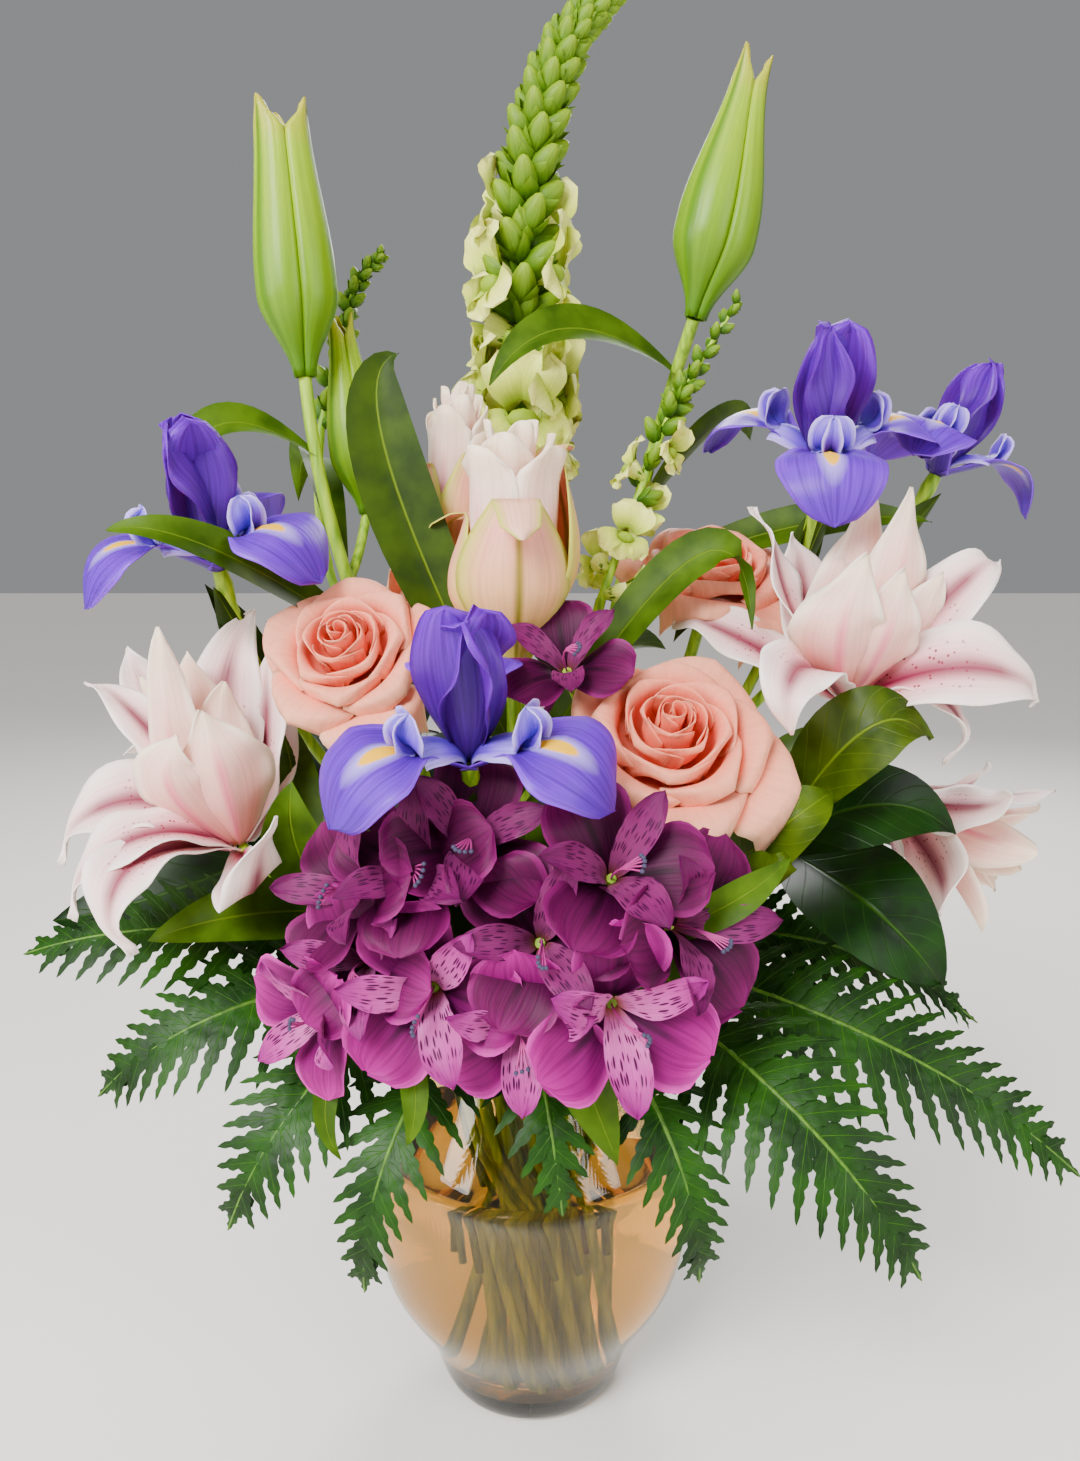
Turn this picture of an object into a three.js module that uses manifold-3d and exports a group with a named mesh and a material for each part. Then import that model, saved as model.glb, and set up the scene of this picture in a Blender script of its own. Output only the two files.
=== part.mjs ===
// A mixed bouquet with irises, standing in a clear glass vase of water.
// Millimetres, +Z up. The origin is the middle of the vase's foot, and the bouquet faces -Y.
import * as THREE from "three";
import { mergeVertices } from "three/addons/utils/BufferGeometryUtils.js";
import Module from "manifold-3d";

const wasm = await Module();
wasm.setup();

// ---------------------------------------------------------------------------
// Driving dimensions
// ---------------------------------------------------------------------------
const BLADE = 0.8; // thickness of a petal or leaf
const GAP = 0.5; // air kept between a piece and its neighbours
const CLEAN_JOIN = 0.3; // how far a face may move when the small facets that a join leaves are closed up
const CLEAN_CUT = 0.12; // the same after a piece is cut clear of its neighbours
const FOOT_Z = 15; // height of the long stems' cut ends
const SHORT_FOOT_Z = 70; // height of the cut ends of twigs and fern stalks
const NECK_Z = 168; // height of the vase's narrowest place
const WATER_Z = 118; // water level
const SPIRAL_TURN = 75; // degrees the stems turn between neck and foot
const SPIRAL_DRAW = 0.7; // foot circle as a share of the neck circle
const RING_RADIUS = [8, 18, 28.5, 39.5]; // circles on which stems pass the neck

// Vase: outer and inner outline as [radius, height]
const VASE_OUTSIDE = [
  [0, 0], [36, 0], [41, 6], [49, 26], [67, 56], [73, 90], [69, 120], [50, 162], [57, 188],
];
const VASE_INSIDE = [[54, 189], [47, 162], [66, 119], [70, 90], [64, 57], [46, 28], [37, 12], [0, 10]];
const VASE_SIDES = 16;

// Finishes: colour, roughness, metalness
const FINISH = {
  glass: [0xdfe8e4, 0.05],
  water: [0xc9c08a, 0.05],
  iris: [0x5a3fd0, 0.5],
  rose: [0xf4a58c, 0.55],
  lily: [0xf3dcd8, 0.5],
  bud: [0x9bbe2b, 0.5],
  snapdragon: [0xdfe6a0, 0.55],
  alstroemeria: [0x9a1a86, 0.5],
  stem: [0x5f8a2a, 0.55],
  lilyLeaf: [0x2f6410, 0.45],
  fern: [0x2f6b12, 0.5],
  salal: [0x12420d, 0.3],
};

// ---------------------------------------------------------------------------
// Small tools
// ---------------------------------------------------------------------------
// Extra thickness given to every surface while the space to keep clear round a piece is worked out.
let margin = 0;

const DEG = Math.PI / 180;
const UP = new THREE.Vector3(0, 0, 1);
const vec = ([x, y, z]) => new THREE.Vector3(x, y, z);
// A small even scatter between -1 and 1, the same each time for the same pair of numbers.
const wobble = (i, k) => Math.sin(12.9 * i + 7.3 * k + 1.1);

// Indexed triangles of a three.js geometry with shared corners and no empty faces.
function welded(geometry) {
  const bare = geometry.clone();
  bare.deleteAttribute("normal");
  bare.deleteAttribute("uv");
  const merged = mergeVertices(bare, 1e-4);
  const kept = [];
  const index = merged.index.array;
  for (let i = 0; i < index.length; i += 3) {
    const [a, b, c] = [index[i], index[i + 1], index[i + 2]];
    if (a !== b && b !== c && c !== a) kept.push(a, b, c);
  }
  merged.setIndex(kept);
  return merged;
}

function solidOf(geometry) {
  const vertProperties = new Float32Array(geometry.attributes.position.array);
  const triVerts = new Uint32Array(geometry.index.array);
  return new wasm.Manifold(new wasm.Mesh({ numProp: 3, vertProperties, triVerts }));
}

const joined = (shapes) => wasm.Manifold.union(shapes.map(solidOf));

// Closes up small facets, fills what the shapes seal and drops loose scraps.
function largest(solid, cleaning) {
  const parts = solid.asOriginal().simplify(cleaning).decompose();
  return parts.reduce((best, part) => (part.volume() > best.volume() ? part : best));
}

// Closes two like faces, `count` corners apart in `points`, along the rim of the upper one.
function closedSheet(points, faces, rim, count) {
  const index = [];
  for (const [a, b, c] of faces) index.push(a, b, c, a + count, c + count, b + count);
  rim.forEach((p, i) => {
    const q = rim[(i + 1) % rim.length];
    index.push(p, p + count, q + count, p, q + count, q);
  });
  const geometry = new THREE.BufferGeometry();
  geometry.setAttribute("position", new THREE.Float32BufferAttribute(points, 3));
  geometry.setIndex(index);
  return geometry;
}

// A blade through frames { at, side, face, half }: hollowed by `cup` of its half width.
function sheet(frames, { cols = 2, cup = 0, thick = BLADE } = {}) {
  const rows = frames.length - 1;
  const grid = new THREE.PlaneGeometry(2, 1, cols, rows);
  const { position } = grid.attributes;
  const count = position.count;
  const points = new Array(count * 6);
  for (let i = 0; i < count; i += 1) {
    const u = position.getX(i);
    const frame = frames[Math.round((position.getY(i) + 0.5) * rows)];
    const middle = frame.at.clone().addScaledVector(frame.side, u * (frame.half + margin));
    middle.addScaledVector(frame.face, cup * frame.half * u * u);
    const offset = frame.face.clone().multiplyScalar(thick / 2 + margin);
    middle.clone().add(offset).toArray(points, i * 3);
    middle.clone().sub(offset).toArray(points, (count + i) * 3);
  }
  const faces = [];
  const source = grid.index.array;
  for (let i = 0; i < source.length; i += 3) faces.push([source[i], source[i + 1], source[i + 2]]);
  const wide = cols + 1;
  const rim = [];
  for (let i = 0; i < cols; i += 1) rim.push(rows * wide + i);
  for (let i = rows; i > 0; i -= 1) rim.push(i * wide + cols);
  for (let i = cols; i > 0; i -= 1) rim.push(i);
  for (let i = 0; i < rows; i += 1) rim.push(i * wide);
  return closedSheet(points, faces, rim, count);
}

// Frames along a curve, as wide as `keys` tell and with their sides as near as can be to `across`.
function framesAlong(curve, keys, width, across) {
  return keys.map(([t, w], i) => {
    const along = curve.getTangent(t);
    const side = across.clone().addScaledVector(along, -across.dot(along)).normalize();
    const face = side.clone().cross(along).normalize();
    const at = curve.getPoint(t);
    if (i === 0) at.addScaledVector(along, -margin);
    if (i === keys.length - 1) at.addScaledVector(along, margin);
    return { at, side, face, half: (width / 2) * w };
  });
}

// The line of a petal that grows along +Y while its pitch turns from `rise` to `curl` degrees: its place,
// face and half width for each of `keys`, which are [share of length, share of width].
function petalLine({ keys, length, width, rise, curl, bend = 1 }) {
  const STEPS = 40;
  const at = new THREE.Vector3();
  let step = 0;
  return keys.map(([t, w], i) => {
    while (step < t * STEPS - 0.01) {
      const pitch = (rise + (curl - rise) * ((step + 0.5) / STEPS) ** bend) * DEG;
      at.y += (Math.cos(pitch) * length) / STEPS;
      at.z += (Math.sin(pitch) * length) / STEPS;
      step += 1;
    }
    const pitch = (rise + (curl - rise) * t ** bend) * DEG;
    const along = new THREE.Vector3(0, Math.cos(pitch), Math.sin(pitch));
    const face = new THREE.Vector3(0, -Math.sin(pitch), Math.cos(pitch));
    const placed = at.clone().addScaledVector(along, i === keys.length - 1 ? margin : 0);
    return { at: placed, face, half: (width / 2) * w, t };
  });
}

// A whorl of `count` petals in one piece: their roots are the sides of a small disc of radius `root`.
// `scatter` sets each petal a little off the even turn and pitch, and `vary` gives a petal its own sizes.
const DISC = 2; // thickness of the disc that the petals share
function corolla(count, options) {
  const { cols = 1, cup = 0, root, lift = 0, turn = 0, scatter = 4, vary = () => ({}) } = options;
  const upper = [];
  const lower = [];
  const add = (at, offset, spread = 1) => {
    upper.push(...at.clone().add(offset).toArray());
    lower.push(...at.clone().multiplyScalar(spread).sub(offset).toArray());
    return upper.length / 3 - 1;
  };
  const spread = 1 + (2 * margin) / root;
  const half = 180 / count;
  const upright = new THREE.Vector3(0, 0, DISC / 2 + margin);
  const corners = [];
  for (let j = 0; j < count; j += 1) {
    const bearing = (90 + turn + (2 * j - 1) * half) * DEG;
    const corner = new THREE.Vector3(Math.cos(bearing), Math.sin(bearing), 0);
    corners.push(add(corner.multiplyScalar(root / Math.cos(half * DEG)), upright, spread));
  }
  const centre = add(new THREE.Vector3(), upright);
  const faces = [];
  const rim = [];
  for (let j = 0; j < count; j += 1) {
    const own = { ...options, ...vary(j) };
    own.rise += scatter * wobble(j + 3, turn);
    own.curl += 2 * scatter * wobble(j + 7, turn);
    const bearing = (turn + 2 * j * half) * DEG;
    const rows = petalLine(own).map(({ at, face, half: wide, t }, i) => {
      const row = [];
      for (let c = 0; c <= cols; c += 1) {
        const u = (2 * c) / cols - 1;
        if (i === 0 && c === 0) row.push(corners[(j + 1) % count]);
        else if (i === 0 && c === cols) row.push(corners[j]);
        else {
          const point = at.clone().add(new THREE.Vector3(i === 0 ? 0 : u * (wide + margin), root, 0));
          point.addScaledVector(face, i === 0 ? 0 : cup * wide * u * u);
          const offset = i === 0 ? upright.clone() : face.clone().multiplyScalar(BLADE / 2 + margin);
          const sway = bearing + scatter * wobble(j, turn) * t * DEG;
          point.applyAxisAngle(UP, sway);
          offset.applyAxisAngle(UP, sway);
          row.push(add(point, offset, i === 0 ? spread : 1));
        }
      }
      return row;
    });
    const last = rows.length - 1;
    for (let r = 0; r < last; r += 1) {
      for (let c = 0; c < cols; c += 1) {
        faces.push([rows[r][c], rows[r][c + 1], rows[r + 1][c + 1]]);
        faces.push([rows[r][c], rows[r + 1][c + 1], rows[r + 1][c]]);
      }
    }
    for (let c = cols; c > 0; c -= 1) faces.push([centre, rows[0][c], rows[0][c - 1]]);
    for (let r = 0; r <= last; r += 1) rim.push(rows[r][cols]);
    for (let c = cols - 1; c >= 0; c -= 1) rim.push(rows[last][c]);
    for (let r = last - 1; r > 0; r -= 1) rim.push(rows[r][0]);
  }
  return closedSheet([...upper, ...lower], faces, rim, upper.length / 3).translate(0, 0, lift + DISC / 2);
}

// A round rod through points, with one radius or a radius for each point.
function rod(points, radius, sides = 4) {
  const rows = points.length - 1;
  const shape = welded(new THREE.CylinderGeometry(1, 1, 1, sides, rows));
  const { position } = shape.attributes;
  const frames = [];
  let across = new THREE.Vector3(1, 0.2, 0.1);
  points.forEach((point, i) => {
    const along = points[Math.min(i + 1, rows)].clone().sub(points[Math.max(i - 1, 0)]).normalize();
    if (i === 0 && Math.abs(along.x) > 0.8) across = new THREE.Vector3(0.1, 1, 0.2);
    across = across.clone().addScaledVector(along, -across.dot(along)).normalize();
    const at = point.clone();
    if (i === 0) at.addScaledVector(along, -margin);
    if (i === rows) at.addScaledVector(along, margin);
    frames.push({ at, along, across, third: along.clone().cross(across) });
  });
  for (let i = 0; i < position.count; i += 1) {
    const row = Math.round((position.getY(i) + 0.5) * rows);
    const { at, across: a, third } = frames[row];
    const size = (Array.isArray(radius) ? radius[row] : radius) + margin;
    const on = Math.hypot(position.getX(i), position.getZ(i)) > 0.5 ? size : 0;
    const placed = at.clone();
    placed.addScaledVector(third, position.getX(i) * on).addScaledVector(a, position.getZ(i) * on);
    position.setXYZ(i, placed.x, placed.y, placed.z);
  }
  return shape;
}

// The matrix that stands a shape made round +Z at `at`, facing `facing`, after a turn of `roll` degrees.
function standing(at, facing, roll = 0) {
  const turn = new THREE.Quaternion().setFromUnitVectors(UP, vec(facing).normalize());
  turn.multiply(new THREE.Quaternion().setFromAxisAngle(UP, roll * DEG));
  return new THREE.Matrix4().compose(vec(at), turn, new THREE.Vector3(1, 1, 1));
}

const placed = (shapes, matrix) => shapes.map((shape) => shape.applyMatrix4(matrix));

// A head stands on the end of its stem, a gap clear of it.
function headOn(end, facing, roll) {
  const clear = vec(end).addScaledVector(vec(facing).normalize(), GAP);
  return standing(clear.toArray(), facing, roll);
}

// ---------------------------------------------------------------------------
// Blooms, each made round +Z and standing on the origin
// ---------------------------------------------------------------------------
const IRIS_FALL = [[0, 1], [0.4, 0.36], [0.75, 1], [1, 0.45]];
const IRIS_STANDARD = [[0, 1], [0.6, 1], [1, 0.4]];
const IRIS_ARM = [[0, 1], [0.6, 1], [1, 0.8]];

// The slim middle of a bloom, which joins its whorls.
const post = (height, radius = 1.6) => rod([[0, 0, 0.6], [0, 0, height]].map(vec), radius, 3);

function irisBloom(size) {
  return [
    corolla(3, {
      keys: IRIS_FALL, length: 66 * size, width: 34 * size, rise: 44, curl: -80, bend: 1.2, cols: 2,
      root: 3,
    }),
    corolla(3, {
      keys: IRIS_STANDARD, length: 54 * size, width: 22 * size, rise: 62, curl: 100, root: 2.2, turn: 60,
      lift: 3.4,
    }),
    corolla(3, {
      keys: IRIS_ARM, length: 35 * size, width: 14 * size, rise: 68, curl: 6, root: 1.7, lift: 6.8,
    }),
    post(8),
  ];
}

const ROSE_PETAL = [[0, 1], [0.55, 1], [1, 0.66]];
const UPRIGHT_PETAL = [[0, 1], [1, 0.9]];

function roseBloom(radius, middle, outer) {
  const petals = { keys: ROSE_PETAL, bend: 1.5, cols: 2 };
  return [
    corolla(outer, {
      ...petals, length: 1.1 * radius, width: 1.1 * radius, rise: 46, curl: -20, cup: 0.14,
      root: 0.2 * radius,
    }),
    corolla(middle, {
      ...petals, length: 0.98 * radius, width: 0.86 * radius, rise: 66, curl: 44, cup: 0.3,
      root: 0.17 * radius, turn: 36, lift: 4,
    }),
    corolla(4, {
      keys: UPRIGHT_PETAL, length: 0.78 * radius, width: 0.5 * radius, rise: 80, curl: 76,
      root: 0.13 * radius, turn: 10, lift: 8, scatter: 2,
    }),
    corolla(3, {
      keys: UPRIGHT_PETAL, length: 0.66 * radius, width: 0.3 * radius, rise: 88, curl: 98,
      root: 0.07 * radius, turn: 40, lift: 12, scatter: 2,
    }),
    post(13),
  ];
}

const LILY_TEPAL = [[0, 1], [0.5, 1], [0.8, 0.7], [1, 0.1]];
const LILY_INNER = [[0, 1], [0.55, 1], [1, 0.16]];

// The tepals on the upper side of a tilted bloom stand straighter than the ones that hang.
function lilyBloom(size, curl, facing, roll) {
  const world = standing([0, 0, 0], facing, roll);
  const tepals = { keys: LILY_TEPAL, cols: 2, cup: 0.18 };
  const hang = (turn, end) => (j) => {
    const bearing = (90 + turn + 120 * j) * DEG;
    const out = new THREE.Vector3(Math.cos(bearing), Math.sin(bearing), 0).applyMatrix4(world);
    return { curl: end + 80 * Math.max(out.z, 0) };
  };
  return [
    corolla(3, {
      ...tepals, length: 104 * size, width: 34 * size, rise: 54, curl, bend: 1.7, root: 3.6,
      vary: hang(0, curl),
    }),
    corolla(3, {
      ...tepals, length: 98 * size, width: 46 * size, rise: 62, curl, bend: 1.9, root: 3,
      turn: 60, lift: 4, vary: hang(60, curl + 20),
    }),
    corolla(4, {
      keys: LILY_INNER, length: 76 * size, width: 30 * size, rise: 82, curl: 60, bend: 1.6, root: 3,
      turn: 20, lift: 8,
    }),
    post(9),
  ];
}

function lilyHalfOpen(length, width) {
  return [
    corolla(3, {
      keys: LILY_TEPAL, cols: 2, length, width: 0.78 * width, rise: 45, curl: 99, bend: 0.5, cup: 0.5,
      root: 0.1 * width, turn: 30, scatter: 2,
    }),
    corolla(3, {
      keys: [[0, 1], [1, 0.7]], length: 1.02 * length, width: 0.42 * width, rise: 84, curl: 88,
      root: 0.06 * width, turn: 90, lift: 5, scatter: 2,
    }),
    post(6),
  ];
}

const BUD_SWELL = [[0, 0.25], [0.08, 0.66], [0.35, 1], [0.62, 0.95], [0.93, 0.42]];

function lilyBud(length, radius) {
  const points = BUD_SWELL.map(([t]) => new THREE.Vector3(0, 0, t * length));
  const tips = corolla(3, {
    keys: [[0, 1], [1, 0.3]], length: 0.18 * length, width: 0.8 * radius, rise: 84, curl: 70,
    root: 0.22 * radius, lift: 0.84 * length, scatter: 2,
  });
  return [rod(points, BUD_SWELL.map(([, w]) => w * radius), 6), tips];
}

const ALSTROEMERIA_TEPAL = [[0, 1], [0.65, 1], [1, 0.5]];

function alstroemeriaBloom(size, open = 0) {
  const inner = { keys: [[0, 1], [1, 0.8]], width: 9 * size, rise: 76, curl: 34 + open };
  return [
    corolla(6, {
      keys: ALSTROEMERIA_TEPAL, length: 34 * size, width: 19 * size, rise: 64, curl: 14 + open, root: 3.4,
      vary: (k) => (k % 2 ? inner : {}),
    }),
  ];
}

// A snapdragon floret grows along +Z: a short tube that opens into one upper and two lower lobes.
const snapFloret = (size) => [
  corolla(3, {
    keys: [[0, 1], [0.52, 0.7], [1, 1]], length: 29 * size, width: 18 * size, rise: 88, curl: -35,
    bend: 2.2, root: 2.6 * size, scatter: 5,
  }),
];

function snapBud(size) {
  const bud = welded(new THREE.SphereGeometry(1, 4, 2)).rotateX(Math.PI / 2);
  const radius = 0.38 * size + margin;
  return bud.scale(radius, radius, 0.62 * size + 2 * margin).translate(0, 0, 0.52 * size);
}

// ---------------------------------------------------------------------------
// Stems
// ---------------------------------------------------------------------------
// Every stem: its circle at the neck, the end it carries and the way that end faces.
const STEMS = {
  iris_left: { ring: 2, end: [-124, -36, 375], facing: [-0.12, -0.35, 0.93] },
  iris_front: { ring: 2, end: [-20, -112, 309], facing: [0, -0.5, 0.87] },
  iris_right: { ring: 2, end: [120, -12, 414], facing: [-0.02, -0.42, 0.9] },
  iris_far_right: { ring: 2, end: [181, 25, 417], facing: [0.4, -0.1, 0.9] },
  rose_left: { ring: 2, end: [-66, -48, 334], facing: [-0.15, -0.8, 0.58] },
  rose_right: { ring: 2, end: [50, -74, 300], facing: [0.1, -0.85, 0.52] },
  rose_back_right: { ring: 1, end: [76, 6, 360], facing: [0.1, -0.5, 0.86] },
  rose_back: { ring: 1, end: [-40, 88, 350], facing: [-0.25, 0.7, 0.67] },
  lily_left: { ring: 2, end: [-112, -64, 268], facing: [-0.6, -0.4, 0.7] },
  lily_right: { ring: 2, end: [128, -38, 322], facing: [0.42, -0.35, 0.84] },
  lily_tall_left: { ring: 1, end: [-96, 5, 456], facing: [-0.07, 0, 1] },
  lily_tall_right: { ring: 1, end: [69, 5, 480], facing: [0.3, -0.6, 1] },
  lily_centre: { ring: 0, end: [-6, -58, 338], facing: [0, -0.05, 1] },
  snapdragon_centre: { ring: 0, end: [-5, 20, 428], facing: [0, 0, 1] },
  snapdragon_right: { ring: 0, end: [29, -25, 363], facing: [0.25, 0.1, 0.97] },
  snapdragon_left: { ring: 1, end: [-98, 48, 440], facing: [0.15, 0, 1] },
  alstroemeria_top_left: { ring: 3, end: [-50, -98, 258], facing: [-0.3, -0.6, 0.6] },
  alstroemeria_low_left: { ring: 3, end: [-52, -105, 225], facing: [-0.4, -0.8, 0.3] },
  alstroemeria_front: { ring: 3, end: [4, -112, 232], facing: [0, -0.9, 0.4] },
  alstroemeria_right: { ring: 3, end: [42, -105, 246], facing: [0.3, -0.8, 0.4] },
  alstroemeria_high: { ring: 1, end: [20, -56, 322], facing: [0.1, -0.5, 0.8] },
  alstroemeria_back: { ring: 3, end: [40, 95, 285], facing: [0.3, 0.7, 0.6] },
  fern_right_low: { ring: 3, end: [48, -52, 205], facing: [0.7, -0.6, 0.3], short: true },
  fern_right_long: { ring: 3, end: [62, -30, 208], facing: [0.9, -0.3, 0.3], short: true },
  fern_right_high: { ring: 3, end: [64, 0, 213], facing: [0.95, 0, 0.3], short: true },
  fern_vase_right: { ring: 3, end: [26, -66, 203], facing: [0.3, -0.9, 0.1], short: true },
  fern_front: { ring: 3, end: [0, -70, 203], facing: [0, -1, 0.1], short: true },
  fern_vase_left: { ring: 3, end: [-25, -66, 203], facing: [-0.3, -0.9, 0.1], short: true },
  fern_left_low: { ring: 3, end: [-47, -52, 205], facing: [-0.7, -0.6, 0.2], short: true },
  fern_left_long: { ring: 3, end: [-62, -22, 212], facing: [-0.95, -0.3, 0.3], short: true },
  fern_left_mid: { ring: 3, end: [-58, -38, 207], facing: [-0.85, -0.5, 0.2], short: true },
  fern_back_left: { ring: 3, end: [-48, 48, 206], facing: [-0.7, 0.6, 0.3], short: true },
  fern_back: { ring: 3, end: [2, 66, 206], facing: [0, 1, 0.3], short: true },
  fern_back_right: { ring: 3, end: [50, 46, 206], facing: [0.7, 0.6, 0.3], short: true },
  salal_right: { ring: 2, end: [98, -52, 268], facing: [0.6, -0.4, 0.6], short: true },
  salal_right_low: { ring: 2, end: [114, 6, 250], facing: [0.9, 0, 0.3], short: true },
  salal_left: { ring: 2, end: [-96, -8, 262], facing: [-0.8, 0, 0.5], short: true },
  salal_back_left: { ring: 2, end: [-72, 72, 290], facing: [-0.6, 0.6, 0.6], short: true },
  salal_back: { ring: 2, end: [14, 82, 322], facing: [0, 0.6, 0.8], short: true },
};

// Gives every stem its own place on its circle at the neck, in the order of the ends' bearings.
for (const [ring, radius] of RING_RADIUS.entries()) {
  const members = Object.values(STEMS).filter((stem) => stem.ring === ring);
  const bearing = (stem) => Math.atan2(stem.end[1], stem.end[0]);
  members.sort((a, b) => bearing(a) - bearing(b));
  const share = (2 * Math.PI) / members.length;
  let offset = 0;
  members.forEach((stem, k) => {
    offset += (bearing(stem) - k * share) / members.length;
  });
  members.forEach((stem, k) => {
    const turn = offset + k * share;
    stem.neck = new THREE.Vector3(radius * Math.cos(turn), radius * Math.sin(turn), NECK_Z);
  });
}

// The line of a stem: straight through the water and the neck, then a bend to the end it carries.
function stemLine(stem, bends = 5) {
  const foot = stem.neck.clone().applyAxisAngle(UP, SPIRAL_TURN * DEG).multiplyScalar(SPIRAL_DRAW);
  foot.z = FOOT_Z;
  const end = vec(stem.end);
  const reach = end.distanceTo(stem.neck);
  const leaving = stem.neck.clone().sub(foot).normalize();
  const arriving = vec(stem.facing).normalize();
  if (stem.short) foot.lerp(stem.neck, (SHORT_FOOT_Z - FOOT_Z) / (NECK_Z - FOOT_Z));
  const curve = new THREE.CubicBezierCurve3(
    stem.neck,
    stem.neck.clone().addScaledVector(leaving, reach * 0.38),
    end.clone().addScaledVector(arriving, -reach * 0.38),
    end,
  );
  return { foot, curve, points: [foot, ...curve.getPoints(bends)] };
}

const plainStem = (name, radius, bends) => rod(stemLine(STEMS[name], bends).points, radius);

// ---------------------------------------------------------------------------
// Leaves
// ---------------------------------------------------------------------------
const STRAP_LEAF = [[0, 0.3], [0.4, 1], [0.75, 0.7], [1, 0.08]];
const BROAD_LEAF = [[0, 0.14], [0.35, 1], [0.7, 0.75], [1, 0.06]];

// A leaf from a root through a middle point to its tip.
function leaf(root, middle, tip, width, keys = STRAP_LEAF, cup = 0.15, facing = UP) {
  const control = middle.clone().multiplyScalar(2).addScaledVector(root, -0.5).addScaledVector(tip, -0.5);
  const curve = new THREE.QuadraticBezierCurve3(root, control, tip);
  const across = tip.clone().sub(root).cross(facing).normalize();
  return sheet(framesAlong(curve, keys, width, across), { cup });
}

// Lily leaves: the share of the stem's bend where the leaf grows, then its middle, tip and width.
const FACE_FRONT = [0, -1, 0.25];
const FACE_UP_FRONT = [0, -0.8, 0.6];
const FACE_UP_BACK = [0, 0.6, 0.8];
const LILY_LEAVES = {
  lily_tall_left: [
    [0.9, [-130, -12, 434], [-142, -28, 395], 20, FACE_UP_FRONT],
    [0.62, [-116, -66, 382], [-154, -74, 389], 19, FACE_UP_FRONT],
    [0.75, [-102, 42, 428], [-114, 70, 408], 20, FACE_UP_BACK],
    [0.5, [-92, 30, 342], [-130, 62, 350], 20, FACE_UP_BACK],
  ],
  lily_tall_right: [
    [0.93, [16, -16, 472], [-16, -32, 447], 24, FACE_UP_FRONT],
    [0.72, [84, 30, 440], [104, 58, 436], 20, FACE_UP_BACK],
    [0.62, [116, 12, 394], [170, -6, 395], 20, FACE_UP_FRONT],
  ],
  lily_centre: [
    [0.82, [-54, -48, 415], [-50, -44, 457], 28, FACE_FRONT],
    [0.7, [62, -42, 378], [86, -54, 352], 20, FACE_UP_FRONT],
  ],
  lily_left: [
    [0.8, [-96, -40, 290], [-112, -6, 318], 20, [0, 0, 1]],
    [0.6, [-104, -78, 246], [-142, -86, 238], 26, FACE_UP_FRONT],
    [0.7, [-87, -80, 272], [-86, -88, 299], 26, FACE_FRONT],
  ],
  lily_right: [
    [0.72, [116, -8, 300], [160, 8, 306], 20, [0, 0, 1]],
  ],
};

// Side buds and blooms of the lily stems: where they fork and where they end.
const LILY_FORKS = {
  lily_tall_left: [[0.72, [-74, 25, 400]]],
  lily_centre: [[0.66, [-33, -25, 362]]],
  lily_right: [[0.5, [160, 14, 272]]],
};

function lilyStem(name) {
  const { points, curve } = stemLine(STEMS[name]);
  const shapes = [rod(points, 3.4)];
  for (const [share, to] of LILY_FORKS[name] ?? []) {
    const from = curve.getPoint(share);
    const way = vec(to).sub(from);
    const bow = from.clone().addScaledVector(way, 0.5).addScaledVector(UP, -0.12 * way.length());
    shapes.push(rod([from, bow, vec(to)], 2.3));
  }
  for (const [share, middle, tip, width, facing] of LILY_LEAVES[name]) {
    const root = curve.getPoint(share);
    shapes.push(leaf(root, vec(middle), vec(tip), width, STRAP_LEAF, 0.15, vec(facing)));
  }
  return shapes;
}

// Salal: broad leaves set by turns along a twig, the last one at its end.
const SALAL_LEAVES = {
  salal_right: [
    [1, [124, -78, 316], [151, -70, 311], 34, FACE_UP_FRONT],
    [0.9, [132, -60, 284], [170, -50, 270], 36, FACE_UP_FRONT],
    [0.75, [88, -92, 280], [111, -86, 295], 30, FACE_UP_FRONT],
    [0.55, [80, -96, 262], [92, -100, 275], 22, FACE_UP_FRONT],
  ],
  salal_right_low: [
    [1, [140, -44, 238], [171, -40, 204], 50, FACE_UP_FRONT],
    [0.8, [140, 26, 250], [176, 42, 242], 42, FACE_UP_BACK],
    [0.6, [108, 38, 240], [130, 64, 246], 40, FACE_UP_BACK],
  ],
  salal_left: [
    [1, [-152, -26, 240], [-202, -30, 228], 40, FACE_UP_FRONT],
    [0.8, [-114, 18, 270], [-150, 38, 274], 42, FACE_UP_BACK],
    [0.5, [-84, 16, 236], [-118, 40, 222], 40, FACE_UP_BACK],
  ],
  salal_back_left: [
    [1, [-90, 92, 306], [-112, 118, 300], 44, FACE_UP_BACK],
    [0.75, [-58, 92, 280], [-52, 126, 286], 42, FACE_UP_BACK],
    [0.6, [-84, 62, 258], [-124, 84, 262], 42, FACE_UP_BACK],
  ],
  salal_back: [
    [1, [10, 100, 352], [12, 128, 352], 44, FACE_UP_BACK],
    [0.8, [36, 84, 330], [70, 100, 334], 42, FACE_UP_BACK],
    [0.65, [-20, 84, 296], [-34, 116, 300], 40, FACE_UP_BACK],
    [0.5, [20, 80, 262], [26, 118, 262], 42, FACE_UP_BACK],
  ],
};

function salalSpray(name) {
  const { points, curve } = stemLine(STEMS[name], 4);
  const leaves = SALAL_LEAVES[name].map(([share, middle, tip, width, facing]) => {
    const root = curve.getPoint(Math.min(share, 0.99));
    return leaf(root, vec(middle), vec(tip), width, BROAD_LEAF, 0.1, vec(facing));
  });
  return [rod(points, 1.9, 3), ...leaves];
}

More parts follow.
